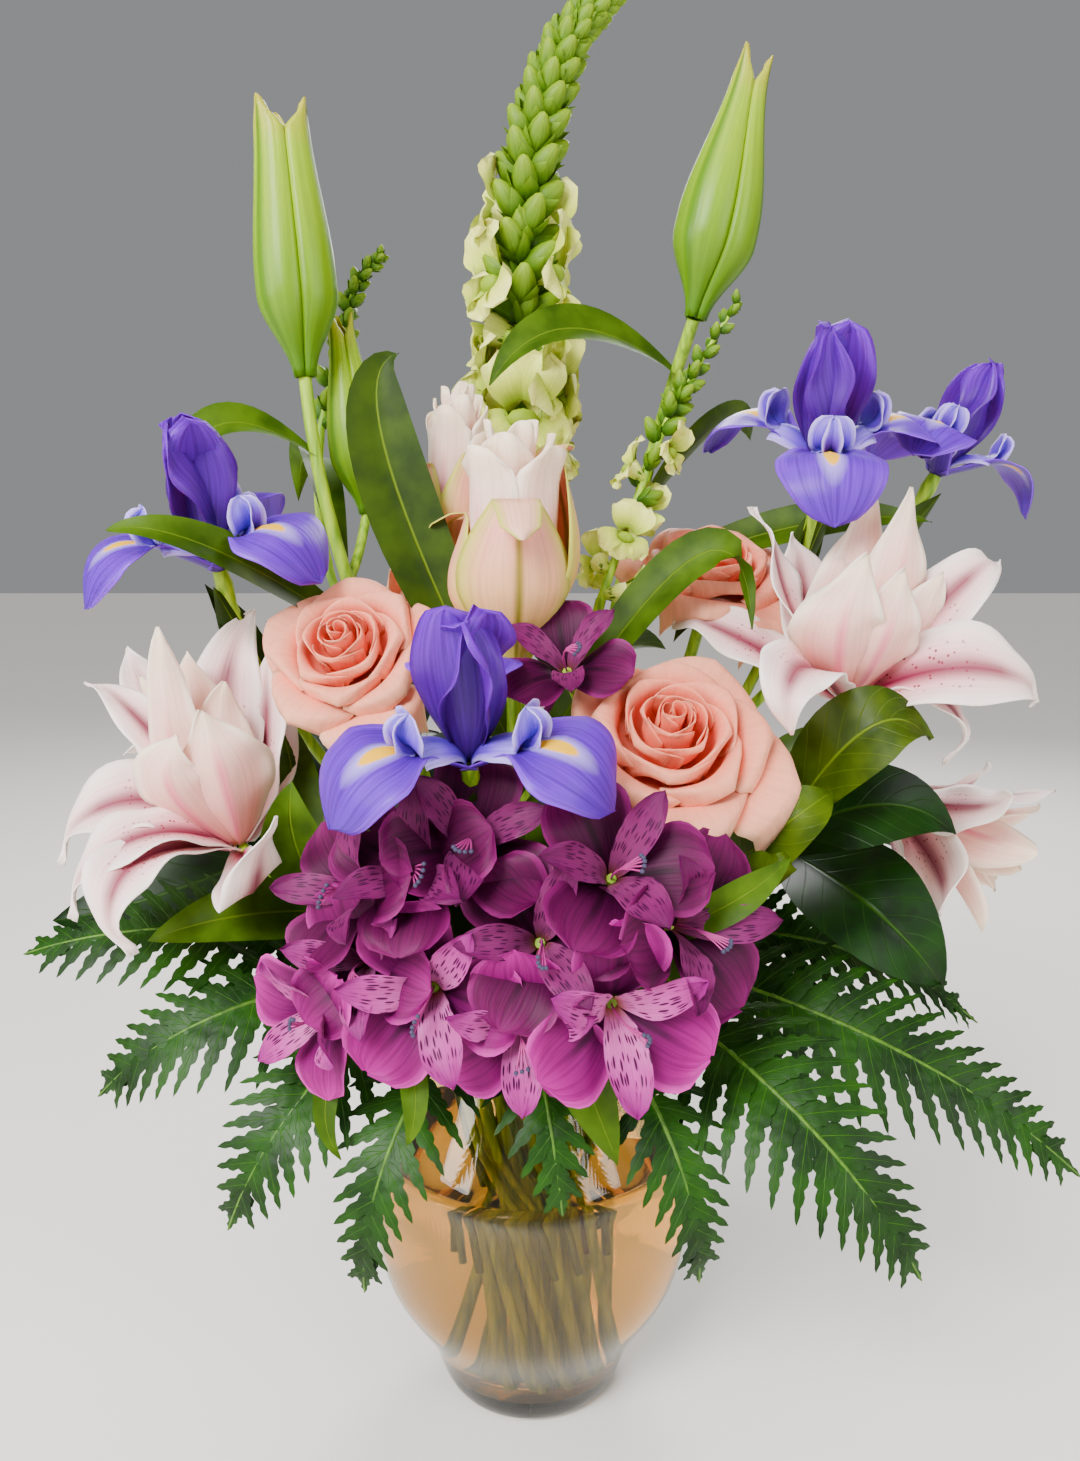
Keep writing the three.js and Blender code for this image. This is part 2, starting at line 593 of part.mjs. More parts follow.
// Ferns: tip of the frond, half width of its leafy part, how far it arches from a straight line and
// the way that its upper face looks, which is also the way that it arches.
const FRONDS = {
  fern_right_low: [[140, -120, 124], 46, 34, [0.1, -0.85, 0.5]],
  fern_right_long: [[219, -72, 136], 46, 30, [0.1, -0.8, 0.6]],
  fern_right_high: [[206, 6, 168], 40, 24, [0.1, -0.6, 0.8]],
  fern_vase_right: [[62, -112, 118], 30, 34, [0.2, -0.9, 0.4]],
  fern_front: [[12, -122, 150], 30, 24, [0, -0.8, 0.6]],
  fern_vase_left: [[-60, -112, 114], 30, 34, [-0.2, -0.9, 0.4]],
  fern_left_low: [[-110, -108, 136], 38, 32, [-0.1, -0.85, 0.5]],
  fern_left_long: [[-198, -66, 226], 44, 22, [-0.1, -0.7, 0.7]],
  fern_left_mid: [[-168, -76, 172], 42, 32, [-0.1, -0.8, 0.6]],
  fern_back_left: [[-124, 122, 156], 44, 34, [-0.4, 0.6, 0.7]],
  fern_back: [[4, 168, 150], 46, 36, [0, 0.6, 0.8]],
  fern_back_right: [[130, 118, 156], 44, 34, [0.4, 0.6, 0.7]],
};
const LEAFLET_PAIRS = 6;
const RIB = 1.4; // half width of blade kept along the stalk between two leaflets

// Outline of a frond as [share of length, half width], up one side of the stalk and down the other,
// grown by `more` all round.
function frondOutline(half, length, more) {
  const side = [];
  const grow = (1.3 * more) / length;
  for (let k = 0; k < LEAFLET_PAIRS; k += 1) {
    const t = k / LEAFLET_PAIRS;
    const step = 1 / LEAFLET_PAIRS;
    const reach = half * Math.min(1, 0.45 + 2.2 * t) * (1 - t) ** 0.8 + 2;
    side.push([t, RIB + more], [t + 0.02 * step - grow, 0.55 * reach + more]);
    side.push([t + 0.75 * step + grow, reach + more]);
  }
  const mirrored = side.map(([t, s]) => [t, -s]).reverse();
  return [...side, [1 + grow, 0], ...mirrored];
}

function frond(name) {
  const [tip, half, arch, facing] = FRONDS[name];
  const { points, curve: stalk } = stemLine(STEMS[name], 3);
  const from = stalk.getPoint(1);
  const middle = from.clone().lerp(vec(tip), 0.5).addScaledVector(vec(facing).normalize(), arch);
  const control = middle.multiplyScalar(2).addScaledVector(from, -0.5).addScaledVector(vec(tip), -0.5);
  const rib = new THREE.QuadraticBezierCurve3(from, control, vec(tip));
  const length = rib.getLength();
  const outline = frondOutline(half, length, margin);
  const flat = frondOutline(half, length, 0).map(([t, s]) => new THREE.Vector2(s, t * length));
  const clockwise = THREE.ShapeUtils.isClockWise(flat);
  const rim = outline.map((_, i) => (clockwise ? outline.length - 1 - i : i));
  const upward = ([a, b, c]) => (clockwise ? [a, c, b] : [a, b, c]);
  const faces = THREE.ShapeUtils.triangulateShape(flat, []).map(upward);
  const across = vec(tip).sub(from).cross(vec(facing)).normalize();
  const upper = [];
  const lower = [];
  for (const [t, s] of outline) {
    const along = rib.getTangent(Math.min(Math.max(t, 0), 1));
    const side = across.clone().addScaledVector(along, -across.dot(along)).normalize();
    const face = side.clone().cross(along).normalize();
    const at = rib.getPoint(t).addScaledVector(side, s);
    at.addScaledVector(face, (-0.2 * s * s) / half);
    const offset = face.multiplyScalar(BLADE / 2 + margin);
    upper.push(...at.clone().add(offset).toArray());
    lower.push(...at.clone().sub(offset).toArray());
  }
  const blade = closedSheet([...upper, ...lower], faces, rim, outline.length);
  return [rod([...points, rib.getPoint(0.02)], 1.5, 3), blade];
}

// ---------------------------------------------------------------------------
// Flowers on their stems
// ---------------------------------------------------------------------------
// Irises: size and turn. Roses: radius, petals of the second whorl and of the outer one.
const IRISES = { iris_left: [1, -6], iris_front: [1, 0], iris_right: [1, 170], iris_far_right: [0.85, 150] };
const ROSES = {
  rose_left: [35, 5, 5],
  rose_right: [41, 5, 5],
  rose_back_right: [36, 4, 5],
  rose_back: [34, 4, 4],
};

function irisStem(name) {
  const { points, curve } = stemLine(STEMS[name]);
  const spathe = {
    keys: [[0, 1], [0.5, 1], [1, 0.1]], length: 38, width: 12, rise: 88, curl: 76, root: 2.4, scatter: 2,
  };
  const share = 1 - 44 / curve.getLength();
  const matrix = standing(curve.getPoint(share).toArray(), curve.getTangent(share).toArray(), 30);
  return [rod(points, 2.6), ...placed([corolla(3, spathe)], matrix)];
}

function roseStem(name) {
  const { points } = stemLine(STEMS[name]);
  const sepals = corolla(5, {
    keys: [[0, 1], [1, 0.15]], length: 24, width: 9, rise: 10, curl: -30, root: 4.5, lift: -DISC,
  });
  return [rod(points, 2.7), ...placed([sepals], standing(STEMS[name].end, STEMS[name].facing))];
}

// Snapdragon spikes: the line of the spike above the stem's end, then buds and open florets.
const SPIKES = {
  snapdragon_centre: {
    line: [[-2, 20, 532], [12, 20, 588], [31, 20, 616]], buds: 15, florets: 8, openTo: 0.38, size: 1.2,
  },
  snapdragon_right: {
    line: [[53, -15, 428], [66, -10, 453], [85, -10, 490]], buds: 9, florets: 4, openTo: 0.34, size: 0.8,
  },
  snapdragon_left: {
    line: [[-88, 48, 480], [-80, 50, 505], [-69, 50, 523]], buds: 8, florets: 0, openTo: 0, size: 0.8,
  },
};
const GOLDEN_TURN = 137.5;

function snapdragon(name) {
  const { line, buds, florets, openTo, size } = SPIKES[name];
  const { points } = stemLine(STEMS[name]);
  const spike = new THREE.CatmullRomCurve3([points[points.length - 1], ...line.map(vec)]);
  const shapes = [rod([...points, ...spike.getPoints(4).slice(1)], 2.2)];
  const grow = (k, t, pitch, shape) => {
    const along = spike.getTangent(t);
    const out = new THREE.Vector3(1, 0, 0).addScaledVector(along, -along.x).normalize();
    out.applyAxisAngle(along, GOLDEN_TURN * k * DEG);
    const facing = along.clone().multiplyScalar(Math.sin(pitch * DEG));
    facing.addScaledVector(out, Math.cos(pitch * DEG));
    const spin = Math.atan2(facing.y, facing.x) / DEG + 90;
    shapes.push(...placed(shape, standing(spike.getPoint(t).toArray(), facing.toArray(), 180 - spin)));
  };
  for (let k = 0; k < florets; k += 1) grow(k, (openTo * (k + 0.3)) / florets, 20, snapFloret(size));
  for (let k = 0; k < buds; k += 1) {
    const t = openTo + ((0.99 - openTo) * (k + 0.5)) / buds;
    grow(k, t, 42, [snapBud((19 - 11 * t) * size)]);
  }
  return shapes;
}

// Alstroemeria: each bloom of an umbel as place, way it faces, size and turn.
const UMBELS = {
  alstroemeria_top_left: [
    [[-66, -128, 272], [-0.5, -0.6, 0.4], 0.95, 10], [[-40, -132, 280], [-0.2, -0.8, 0.5], 1, 50],
    [[-18, -128, 290], [0.2, -0.8, 0.5], 1, 0],
  ],
  alstroemeria_low_left: [
    [[-80, -128, 222], [-0.6, -0.7, -0.1], 0.95, 30], [[-60, -136, 246], [-0.3, -0.9, 0.2], 0.9, 0],
    [[-34, -142, 236], [-0.1, -1, 0.1], 1.05, 20],
  ],
  alstroemeria_front: [
    [[4, -142, 258], [0, -0.9, 0.4], 1, 40], [[-2, -142, 222], [0, -1, -0.2], 1, 0],
    [[32, -146, 230], [0.2, -1, 0], 1.1, 10],
  ],
  alstroemeria_right: [
    [[60, -132, 258], [0.6, -0.8, 0.2], 1.1, 0], [[30, -138, 282], [0.1, -0.8, 0.5], 1.05, 30],
  ],
  alstroemeria_high: [[[12, -88, 350], [-0.1, -0.7, 0.6], 0.85, 0]],
  alstroemeria_back: [
    [[28, 128, 292], [-0.3, 0.8, 0.4], 1, 0], [[62, 122, 280], [0.4, 0.7, 0.3], 1, 20],
  ],
};

function umbel(name) {
  const { points, curve } = stemLine(STEMS[name], 4);
  const fork = curve.getPoint(1);
  const shapes = [rod(points, 2.1)];
  for (const [at, facing, size, roll] of UMBELS[name]) {
    const way = vec(facing).normalize();
    const base = vec(at).addScaledVector(way, -22);
    shapes.push(rod([fork, base.clone().addScaledVector(way, 1)], [1.4, 2.2], 3));
    const bloom = alstroemeriaBloom(size, 10 * wobble(roll, 2));
    shapes.push(...placed(bloom, standing(base.toArray(), facing, roll)));
  }
  return shapes;
}

// Heads of the lily stems.
const LILY_HEADS = {
  lily_bloom_left: [
    "lily", [-112, -64, 268], [-0.55, -0.45, 0.7], 20, (...way) => lilyBloom(0.92, -70, ...way),
  ],
  lily_bloom_right: [
    "lily", [128, -38, 322], [0.42, -0.35, 0.84], 50, (...way) => lilyBloom(0.95, -65, ...way),
  ],
  lily_bloom_low_right: [
    "lily", [160, 14, 272], [0.75, -0.25, -0.4], 10, (...way) => lilyBloom(0.72, -30, ...way),
  ],
  lily_half_open_front: ["lily", [-6, -58, 338], [0, -0.05, 1], 0, () => lilyHalfOpen(92, 46)],
  lily_half_open_back: ["lily", [-33, -25, 362], [0.05, 0, 1], 40, () => lilyHalfOpen(86, 32)],
  lily_bud_left: ["bud", [-96, 5, 456], [-0.07, 0, 1], 0, () => lilyBud(106, 16)],
  lily_bud_small: ["bud", [-74, 25, 400], [-0.12, 0, 1], 0, () => lilyBud(84, 12)],
  lily_bud_right: ["bud", [69, 5, 480], [0.22, 0, 1], 0, () => lilyBud(108, 17)],
};

// ---------------------------------------------------------------------------
// The pieces, in the order in which they take their space: each one stands clear of those before it
// ---------------------------------------------------------------------------
const pieces = [];
const piece = (name, finish, shapes) => pieces.push({ name, finish, shapes });

function vaseBody() {
  const outline = [...VASE_OUTSIDE.map(([r, z]) => [r, z - (z === 0 ? margin : 0)]), ...VASE_INSIDE];
  const points = outline.map(([r, z], i) => {
    const outward = i < VASE_OUTSIDE.length ? margin : -margin;
    return new THREE.Vector2(r > 0 ? r + outward : 0, z);
  });
  return [welded(new THREE.LatheGeometry(points, VASE_SIDES)).rotateX(Math.PI / 2)];
}

function waterBody() {
  const inside = VASE_INSIDE.filter(([, z]) => z < WATER_Z);
  const wall = inside.map(([r, z]) => [Math.max(r - 1.2, 0), z + 0.5]);
  const [[widest]] = wall;
  const outline = [[0, WATER_Z], [widest - 0.4, WATER_Z], ...wall].reverse();
  const points = outline.map(([r, z]) => new THREE.Vector2(r, z));
  return [welded(new THREE.LatheGeometry(points, VASE_SIDES)).rotateX(Math.PI / 2)];
}

piece("vase", "glass", vaseBody);
for (const name of Object.keys(IRISES)) piece(`${name}_stem`, "stem", () => irisStem(name));
for (const name of Object.keys(ROSES)) piece(`${name}_stem`, "stem", () => roseStem(name));
for (const [name, [size, roll]] of Object.entries(IRISES)) {
  const { end, facing } = STEMS[name];
  piece(`${name}_bloom`, "iris", () => placed(irisBloom(size), headOn(end, facing, roll)));
}
for (const [name, sizes] of Object.entries(ROSES)) {
  const { end, facing } = STEMS[name];
  piece(`${name}_bloom`, "rose", () => placed(roseBloom(...sizes), headOn(end, facing)));
}
for (const [name, [finish, at, facing, roll, bloom]] of Object.entries(LILY_HEADS)) {
  piece(name, finish, () => placed(bloom(facing, roll), headOn(at, facing, roll)));
}
for (const name of Object.keys(SPIKES)) piece(name, "snapdragon", () => snapdragon(name));
for (const name of Object.keys(LILY_LEAVES)) piece(`${name}_stem`, "lilyLeaf", () => lilyStem(name));
for (const name of Object.keys(UMBELS)) piece(name, "alstroemeria", () => umbel(name));
for (const name of Object.keys(SALAL_LEAVES)) piece(name, "salal", () => salalSpray(name));
for (const name of Object.keys(FRONDS)) piece(name, "fern", () => frond(name));
piece("water", "water", waterBody);

const near = (a, b) => [0, 1, 2].every((k) => a.min[k] < b.max[k] && b.min[k] < a.max[k]);

const bouquet = new THREE.Group();
const taken = [];
for (const { name, finish, shapes } of pieces) {
  let solid = largest(joined(shapes()), CLEAN_JOIN);
  margin = GAP;
  const space = joined(shapes());
  margin = 0;
  const box = space.boundingBox();
  const neighbours = taken.filter((other) => near(other.box, box));
  for (const other of neighbours) solid = solid.subtract(other.space);
  if (neighbours.length > 0) solid = largest(solid, CLEAN_CUT);
  taken.push({ space, box });
  const { vertProperties, triVerts } = solid.getMesh();
  const geometry = new THREE.BufferGeometry();
  geometry.setAttribute("position", new THREE.Float32BufferAttribute(vertProperties, 3));
  geometry.setIndex([...triVerts]);
  geometry.computeVertexNormals();
  const [color, roughness] = FINISH[finish];
  const material = new THREE.MeshStandardMaterial({ color, roughness, metalness: 0 });
  const mesh = new THREE.Mesh(geometry, material);
  mesh.name = name;
  bouquet.add(mesh);
}

export default bouquet;
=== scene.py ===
from functools import partial
from math import atan2, cos, exp, pi, radians, sin

import bmesh
import bpy
from mathutils import Matrix, Vector
from mathutils.geometry import interpolate_bezier


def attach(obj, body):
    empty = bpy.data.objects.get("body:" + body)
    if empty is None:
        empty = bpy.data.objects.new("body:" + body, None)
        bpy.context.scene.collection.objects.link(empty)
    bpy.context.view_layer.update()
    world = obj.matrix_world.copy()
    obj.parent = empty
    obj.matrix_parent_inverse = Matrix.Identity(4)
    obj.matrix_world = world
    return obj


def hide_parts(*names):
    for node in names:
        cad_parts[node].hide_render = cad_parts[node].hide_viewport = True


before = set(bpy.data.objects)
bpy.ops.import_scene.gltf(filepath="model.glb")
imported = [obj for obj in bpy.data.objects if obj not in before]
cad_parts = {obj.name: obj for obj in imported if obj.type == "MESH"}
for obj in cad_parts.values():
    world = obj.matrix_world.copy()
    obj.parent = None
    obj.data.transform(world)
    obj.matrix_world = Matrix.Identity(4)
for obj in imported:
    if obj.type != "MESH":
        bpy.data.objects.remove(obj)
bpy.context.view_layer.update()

MM = 0.001
UP = Vector((0, 0, 1))
GOLDEN_TURN = 137.5

# --- Driving dimensions, in millimetres: the stems, leaves and heads stand where the solids do ---
# Stems: heights of their feet and of the neck, their twist there, and their circles at the neck.
FOOT_Z = 15
SHORT_FOOT_Z = 70
NECK_Z = 168
SPIRAL_TURN = 75
SPIRAL_DRAW = 0.7
RING_RADIUS = [8, 18, 28.5, 39.5]
BEND_REACH = 0.38
BEND_POINTS = 19

# Vase: its outside and inside as radius and height, then the water, which reaches a little into the glass
# so that no film of air mirrors between them.
VASE_OUTSIDE = [(36, 0), (41, 6), (49, 26), (67, 56), (73, 90), (69, 120), (50, 162), (57, 188)]
VASE_INSIDE = [(54, 188.6), (47, 162), (66, 119), (70, 90), (64, 57), (46, 28), (37, 12)]
VASE_FLOOR = 10
VASE_STEPS = 72
WATER_Z = 118
WATER_BITE = 0.3

# Ways that leaves face.
TO_FRONT = (0, -1, 0.25)
UPWARD = (0, -0.8, 0.6)
BACKWARD = (0, 0.6, 0.8)

# Every stem starts with its circle at the neck, the end that it carries and the way that end faces.
# Irises: then size and turn.
IRISES = {
    "iris_left": (2, (-124, -36, 375), (-0.12, -0.35, 0.93), 1, -6),
    "iris_front": (2, (-20, -112, 309), (0, -0.5, 0.87), 1, 0),
    "iris_right": (2, (120, -12, 414), (-0.02, -0.42, 0.9), 1, 170),
    "iris_far_right": (2, (181, 25, 417), (0.4, -0.1, 0.9), 0.85, 150),
}
# Roses: then radius, turn and the way the bloom faces.
ROSES = {
    "rose_left": (2, (-66, -48, 334), (-0.15, -0.8, 0.58), 35, 0, (-0.15, -0.78, 0.6)),
    "rose_right": (2, (50, -74, 300), (0.1, -0.85, 0.52), 41, 50, (0.06, -0.72, 0.7)),
    "rose_back_right": (1, (76, 6, 360), (0.1, -0.5, 0.86), 36, 20, (0.1, -0.5, 0.86)),
    "rose_back": (1, (-40, 88, 350), (-0.25, 0.7, 0.67), 34, 80, (-0.25, 0.7, 0.67)),
}
# Lily stems: then side shoots as share of the bend and end, and leaves as share of the bend, middle, tip,
# width and facing.
LILY_STEMS = {
    "lily_tall_left": (1, (-96, 5, 456), (-0.07, 0, 1), [(0.72, (-74, 25, 400))], [
        (0.9, (-130, -12, 434), (-142, -28, 395), 20, UPWARD),
        (0.62, (-116, -66, 382), (-154, -74, 389), 19, UPWARD),
        (0.75, (-102, 42, 428), (-114, 70, 408), 20, BACKWARD),
        (0.5, (-92, 30, 342), (-130, 62, 350), 20, BACKWARD),
    ]),
    "lily_tall_right": (1, (69, 5, 480), (0.3, -0.6, 1), [], [
        (0.93, (16, -16, 472), (-16, -32, 447), 24, UPWARD),
        (0.72, (84, 30, 440), (104, 58, 436), 20, BACKWARD),
        (0.62, (116, 12, 394), (170, -6, 395), 20, UPWARD),
    ]),
    "lily_centre": (0, (-6, -58, 338), (0, -0.05, 1), [(0.66, (-33, -25, 362))], [
        (0.82, (-54, -48, 415), (-50, -44, 457), 28, TO_FRONT),
        (0.7, (62, -42, 378), (86, -54, 352), 20, UPWARD),
    ]),
    "lily_left": (2, (-112, -64, 268), (-0.6, -0.4, 0.7), [], [
        (0.8, (-96, -40, 290), (-112, -6, 318), 20, (0, 0, 1)),
        (0.6, (-104, -78, 246), (-142, -86, 238), 26, UPWARD),
        (0.7, (-87, -80, 272), (-86, -88, 299), 26, TO_FRONT),
    ]),
    "lily_right": (2, (128, -38, 322), (0.42, -0.35, 0.84), [(0.5, (160, 14, 272))], [
        (0.72, (116, -8, 300), (160, 8, 306), 20, (0, 0, 1)),
    ]),
}
# Snapdragons: then the line of the spike, its florets and buds, the share of it in flower, and size.
SNAPDRAGONS = {
    "snapdragon_centre": (0, (-5, 20, 428), (0, 0, 1), [
        (-2, 20, 532), (12, 20, 588), (31, 20, 612),
    ], 18, 80, 0.31, 1.36),
    "snapdragon_right": (0, (29, -25, 363), (0.25, 0.1, 0.97), [
        (53, -15, 428), (66, -10, 453), (85, -10, 484),
    ], 6, 26, 0.34, 0.74),
    "snapdragon_left": (1, (-98, 48, 440), (0.15, 0, 1), [
        (-88, 48, 480), (-80, 50, 505), (-69, 50, 517),
    ], 0, 26, 0, 0.74),
}
# Alstroemeria umbels: then blooms as place, facing, size and turn, and leaves as middle, tip and width.
ALSTROEMERIAS = {
    "alstroemeria_top_left": (3, (-50, -98, 258), (-0.3, -0.6, 0.6), [
        ((-66, -128, 272), (-0.5, -0.6, 0.4), 0.95, 10), ((-40, -132, 280), (-0.2, -0.8, 0.5), 1, 50),
        ((-18, -128, 290), (0.2, -0.8, 0.5), 1, 0),
    ], [
        ((-54, -112, 276), (-64, -120, 296), 12),
    ]),
    "alstroemeria_low_left": (3, (-52, -105, 225), (-0.4, -0.8, 0.3), [
        ((-80, -128, 222), (-0.6, -0.7, -0.1), 0.95, 30), ((-60, -136, 246), (-0.3, -0.9, 0.2), 0.9, 0),
        ((-34, -142, 236), (-0.1, -1, 0.1), 1.05, 20),
    ], [
        ((-70, -118, 196), (-65, -124, 172), 9), ((-39, -128, 205), (-41, -134, 182), 10),
    ]),
    "alstroemeria_front": (3, (4, -112, 232), (0, -0.9, 0.4), [
        ((4, -142, 258), (0, -0.9, 0.4), 1, 40), ((-2, -142, 222), (0, -1, -0.2), 1, 0),
        ((32, -146, 230), (0.2, -1, 0), 1.1, 10),
    ], [
        ((17, -120, 205), (31, -126, 171), 19), ((-13, -116, 250), (-30, -120, 280), 22),
        ((12, -114, 262), (24, -116, 296), 22), ((-2, -106, 262), (2, -103, 298), 24),
    ]),
    "alstroemeria_right": (3, (42, -105, 246), (0.3, -0.8, 0.4), [
        ((60, -132, 258), (0.6, -0.8, 0.2), 1.1, 0), ((30, -138, 282), (0.1, -0.8, 0.5), 1.05, 30),
    ], [
        ((66, -122, 262), (90, -114, 277), 13), ((50, -106, 230), (62, -108, 208), 28),
    ]),
    "alstroemeria_high": (1, (20, -56, 322), (0.1, -0.5, 0.8), [
        ((12, -88, 350), (-0.1, -0.7, 0.6), 0.85, 0),
    ], []),
    "alstroemeria_back": (3, (40, 95, 285), (0.3, 0.7, 0.6), [
        ((28, 128, 292), (-0.3, 0.8, 0.4), 1, 0), ((62, 122, 280), (0.4, 0.7, 0.3), 1, 20),
    ], [
        ((24, 118, 262), (6, 140, 250), 14), ((58, 116, 256), (78, 134, 240), 12),
    ]),
}
# Ferns: then the tip, half width of the leafy part, how high it arches and where its face looks.
FERNS = {
    "fern_right_low": (3, (48, -52, 205), (0.7, -0.6, 0.3), (140, -120, 124), 46, 34, (0.1, -0.85, 0.5)),
    "fern_right_long": (3, (62, -30, 208), (0.9, -0.3, 0.3), (219, -72, 136), 46, 30, (0.1, -0.8, 0.6)),
    "fern_right_high": (3, (64, 0, 213), (0.95, 0, 0.3), (206, 6, 168), 40, 24, (0.1, -0.6, 0.8)),
    "fern_vase_right": (3, (26, -66, 203), (0.3, -0.9, 0.1), (62, -112, 118), 30, 34, (0.2, -0.9, 0.4)),
    "fern_front": (3, (0, -70, 203), (0, -1, 0.1), (12, -122, 150), 30, 24, UPWARD),
    "fern_vase_left": (3, (-25, -66, 203), (-0.3, -0.9, 0.1), (-60, -112, 114), 30, 34, (-0.2, -0.9, 0.4)),
    "fern_left_low": (3, (-47, -52, 205), (-0.7, -0.6, 0.2), (-110, -108, 136), 38, 32, (-0.1, -0.85, 0.5)),
    "fern_left_long": (3, (-62, -22, 212), (-0.95, -0.3, 0.3), (-198, -66, 226), 44, 22, (-0.1, -0.7, 0.7)),
    "fern_left_mid": (3, (-58, -38, 207), (-0.85, -0.5, 0.2), (-168, -76, 172), 42, 32, (-0.1, -0.8, 0.6)),
    "fern_back_left": (3, (-48, 48, 206), (-0.7, 0.6, 0.3), (-124, 122, 156), 44, 34, (-0.4, 0.6, 0.7)),
    "fern_back": (3, (2, 66, 206), (0, 1, 0.3), (4, 168, 150), 46, 36, BACKWARD),
    "fern_back_right": (3, (50, 46, 206), (0.7, 0.6, 0.3), (130, 118, 156), 44, 34, (0.4, 0.6, 0.7)),
}
# Salal sprays: then leaves as share of the twig's bend, middle, tip, width and facing.
SALALS = {
    "salal_right": (2, (98, -52, 268), (0.6, -0.4, 0.6), [
        (1, (124, -78, 316), (151, -70, 311), 34, UPWARD),
        (0.9, (132, -60, 284), (170, -50, 270), 36, UPWARD),
        (0.75, (88, -92, 280), (111, -86, 295), 30, UPWARD),
        (0.55, (80, -96, 262), (92, -100, 275), 22, UPWARD),
    ]),
    "salal_right_low": (2, (114, 6, 250), (0.9, 0, 0.3), [
        (1, (140, -44, 238), (171, -40, 204), 50, UPWARD),
        (0.8, (140, 26, 250), (176, 42, 242), 42, BACKWARD),
        (0.6, (108, 38, 240), (130, 64, 246), 40, BACKWARD),
        (0.9, (122, 52, 264), (146, 80, 262), 38, BACKWARD),
    ]),
    "salal_left": (2, (-96, -8, 262), (-0.8, 0, 0.5), [
        (1, (-152, -26, 240), (-202, -30, 228), 40, UPWARD),
        (0.8, (-114, 18, 270), (-150, 38, 274), 42, BACKWARD),
        (0.5, (-84, 16, 236), (-118, 40, 222), 40, BACKWARD),
        (0.9, (-98, 34, 290), (-122, 62, 298), 38, BACKWARD),
    ]),
    "salal_back_left": (2, (-72, 72, 290), (-0.6, 0.6, 0.6), [
        (1, (-90, 92, 306), (-112, 118, 300), 44, BACKWARD),
        (0.75, (-58, 92, 280), (-52, 126, 286), 42, BACKWARD),
        (0.6, (-84, 62, 258), (-124, 84, 262), 42, BACKWARD),
        (0.45, (-60, 84, 238), (-74, 118, 230), 40, BACKWARD),
        (0.9, (-52, 98, 318), (-38, 124, 322), 38, BACKWARD),
    ]),
    "salal_back": (2, (14, 82, 322), (0, 0.6, 0.8), [
        (1, (10, 100, 352), (12, 128, 352), 44, BACKWARD), (0.8, (36, 84, 330), (70, 100, 334), 42, BACKWARD),
        (0.65, (-20, 84, 296), (-34, 116, 300), 40, BACKWARD),
        (0.5, (20, 80, 262), (26, 118, 262), 42, BACKWARD),
        (0.4, (34, 90, 240), (66, 112, 236), 40, BACKWARD),
        (0.9, (-14, 108, 332), (-38, 130, 324), 38, BACKWARD),
    ]),
}
STEMS = {**IRISES, **ROSES, **LILY_STEMS, **SNAPDRAGONS, **ALSTROEMERIAS, **FERNS, **SALALS}
SHORT = ("fern", "salal")  # kinds whose stems end high in the vase
# Paler young leaves of the sprays, as spray and number.
YOUNG_LEAVES = (("salal_right", 0), ("salal_right", 2), ("salal_right", 3), ("salal_back", 1))
BROAD_LEAF = 28  # the broad leaf behind the half-open lily, darker than the others with painted shade
# Tone of that leaf: its green is halved as painted shade.
SHADED_LEAF_TONE = 0

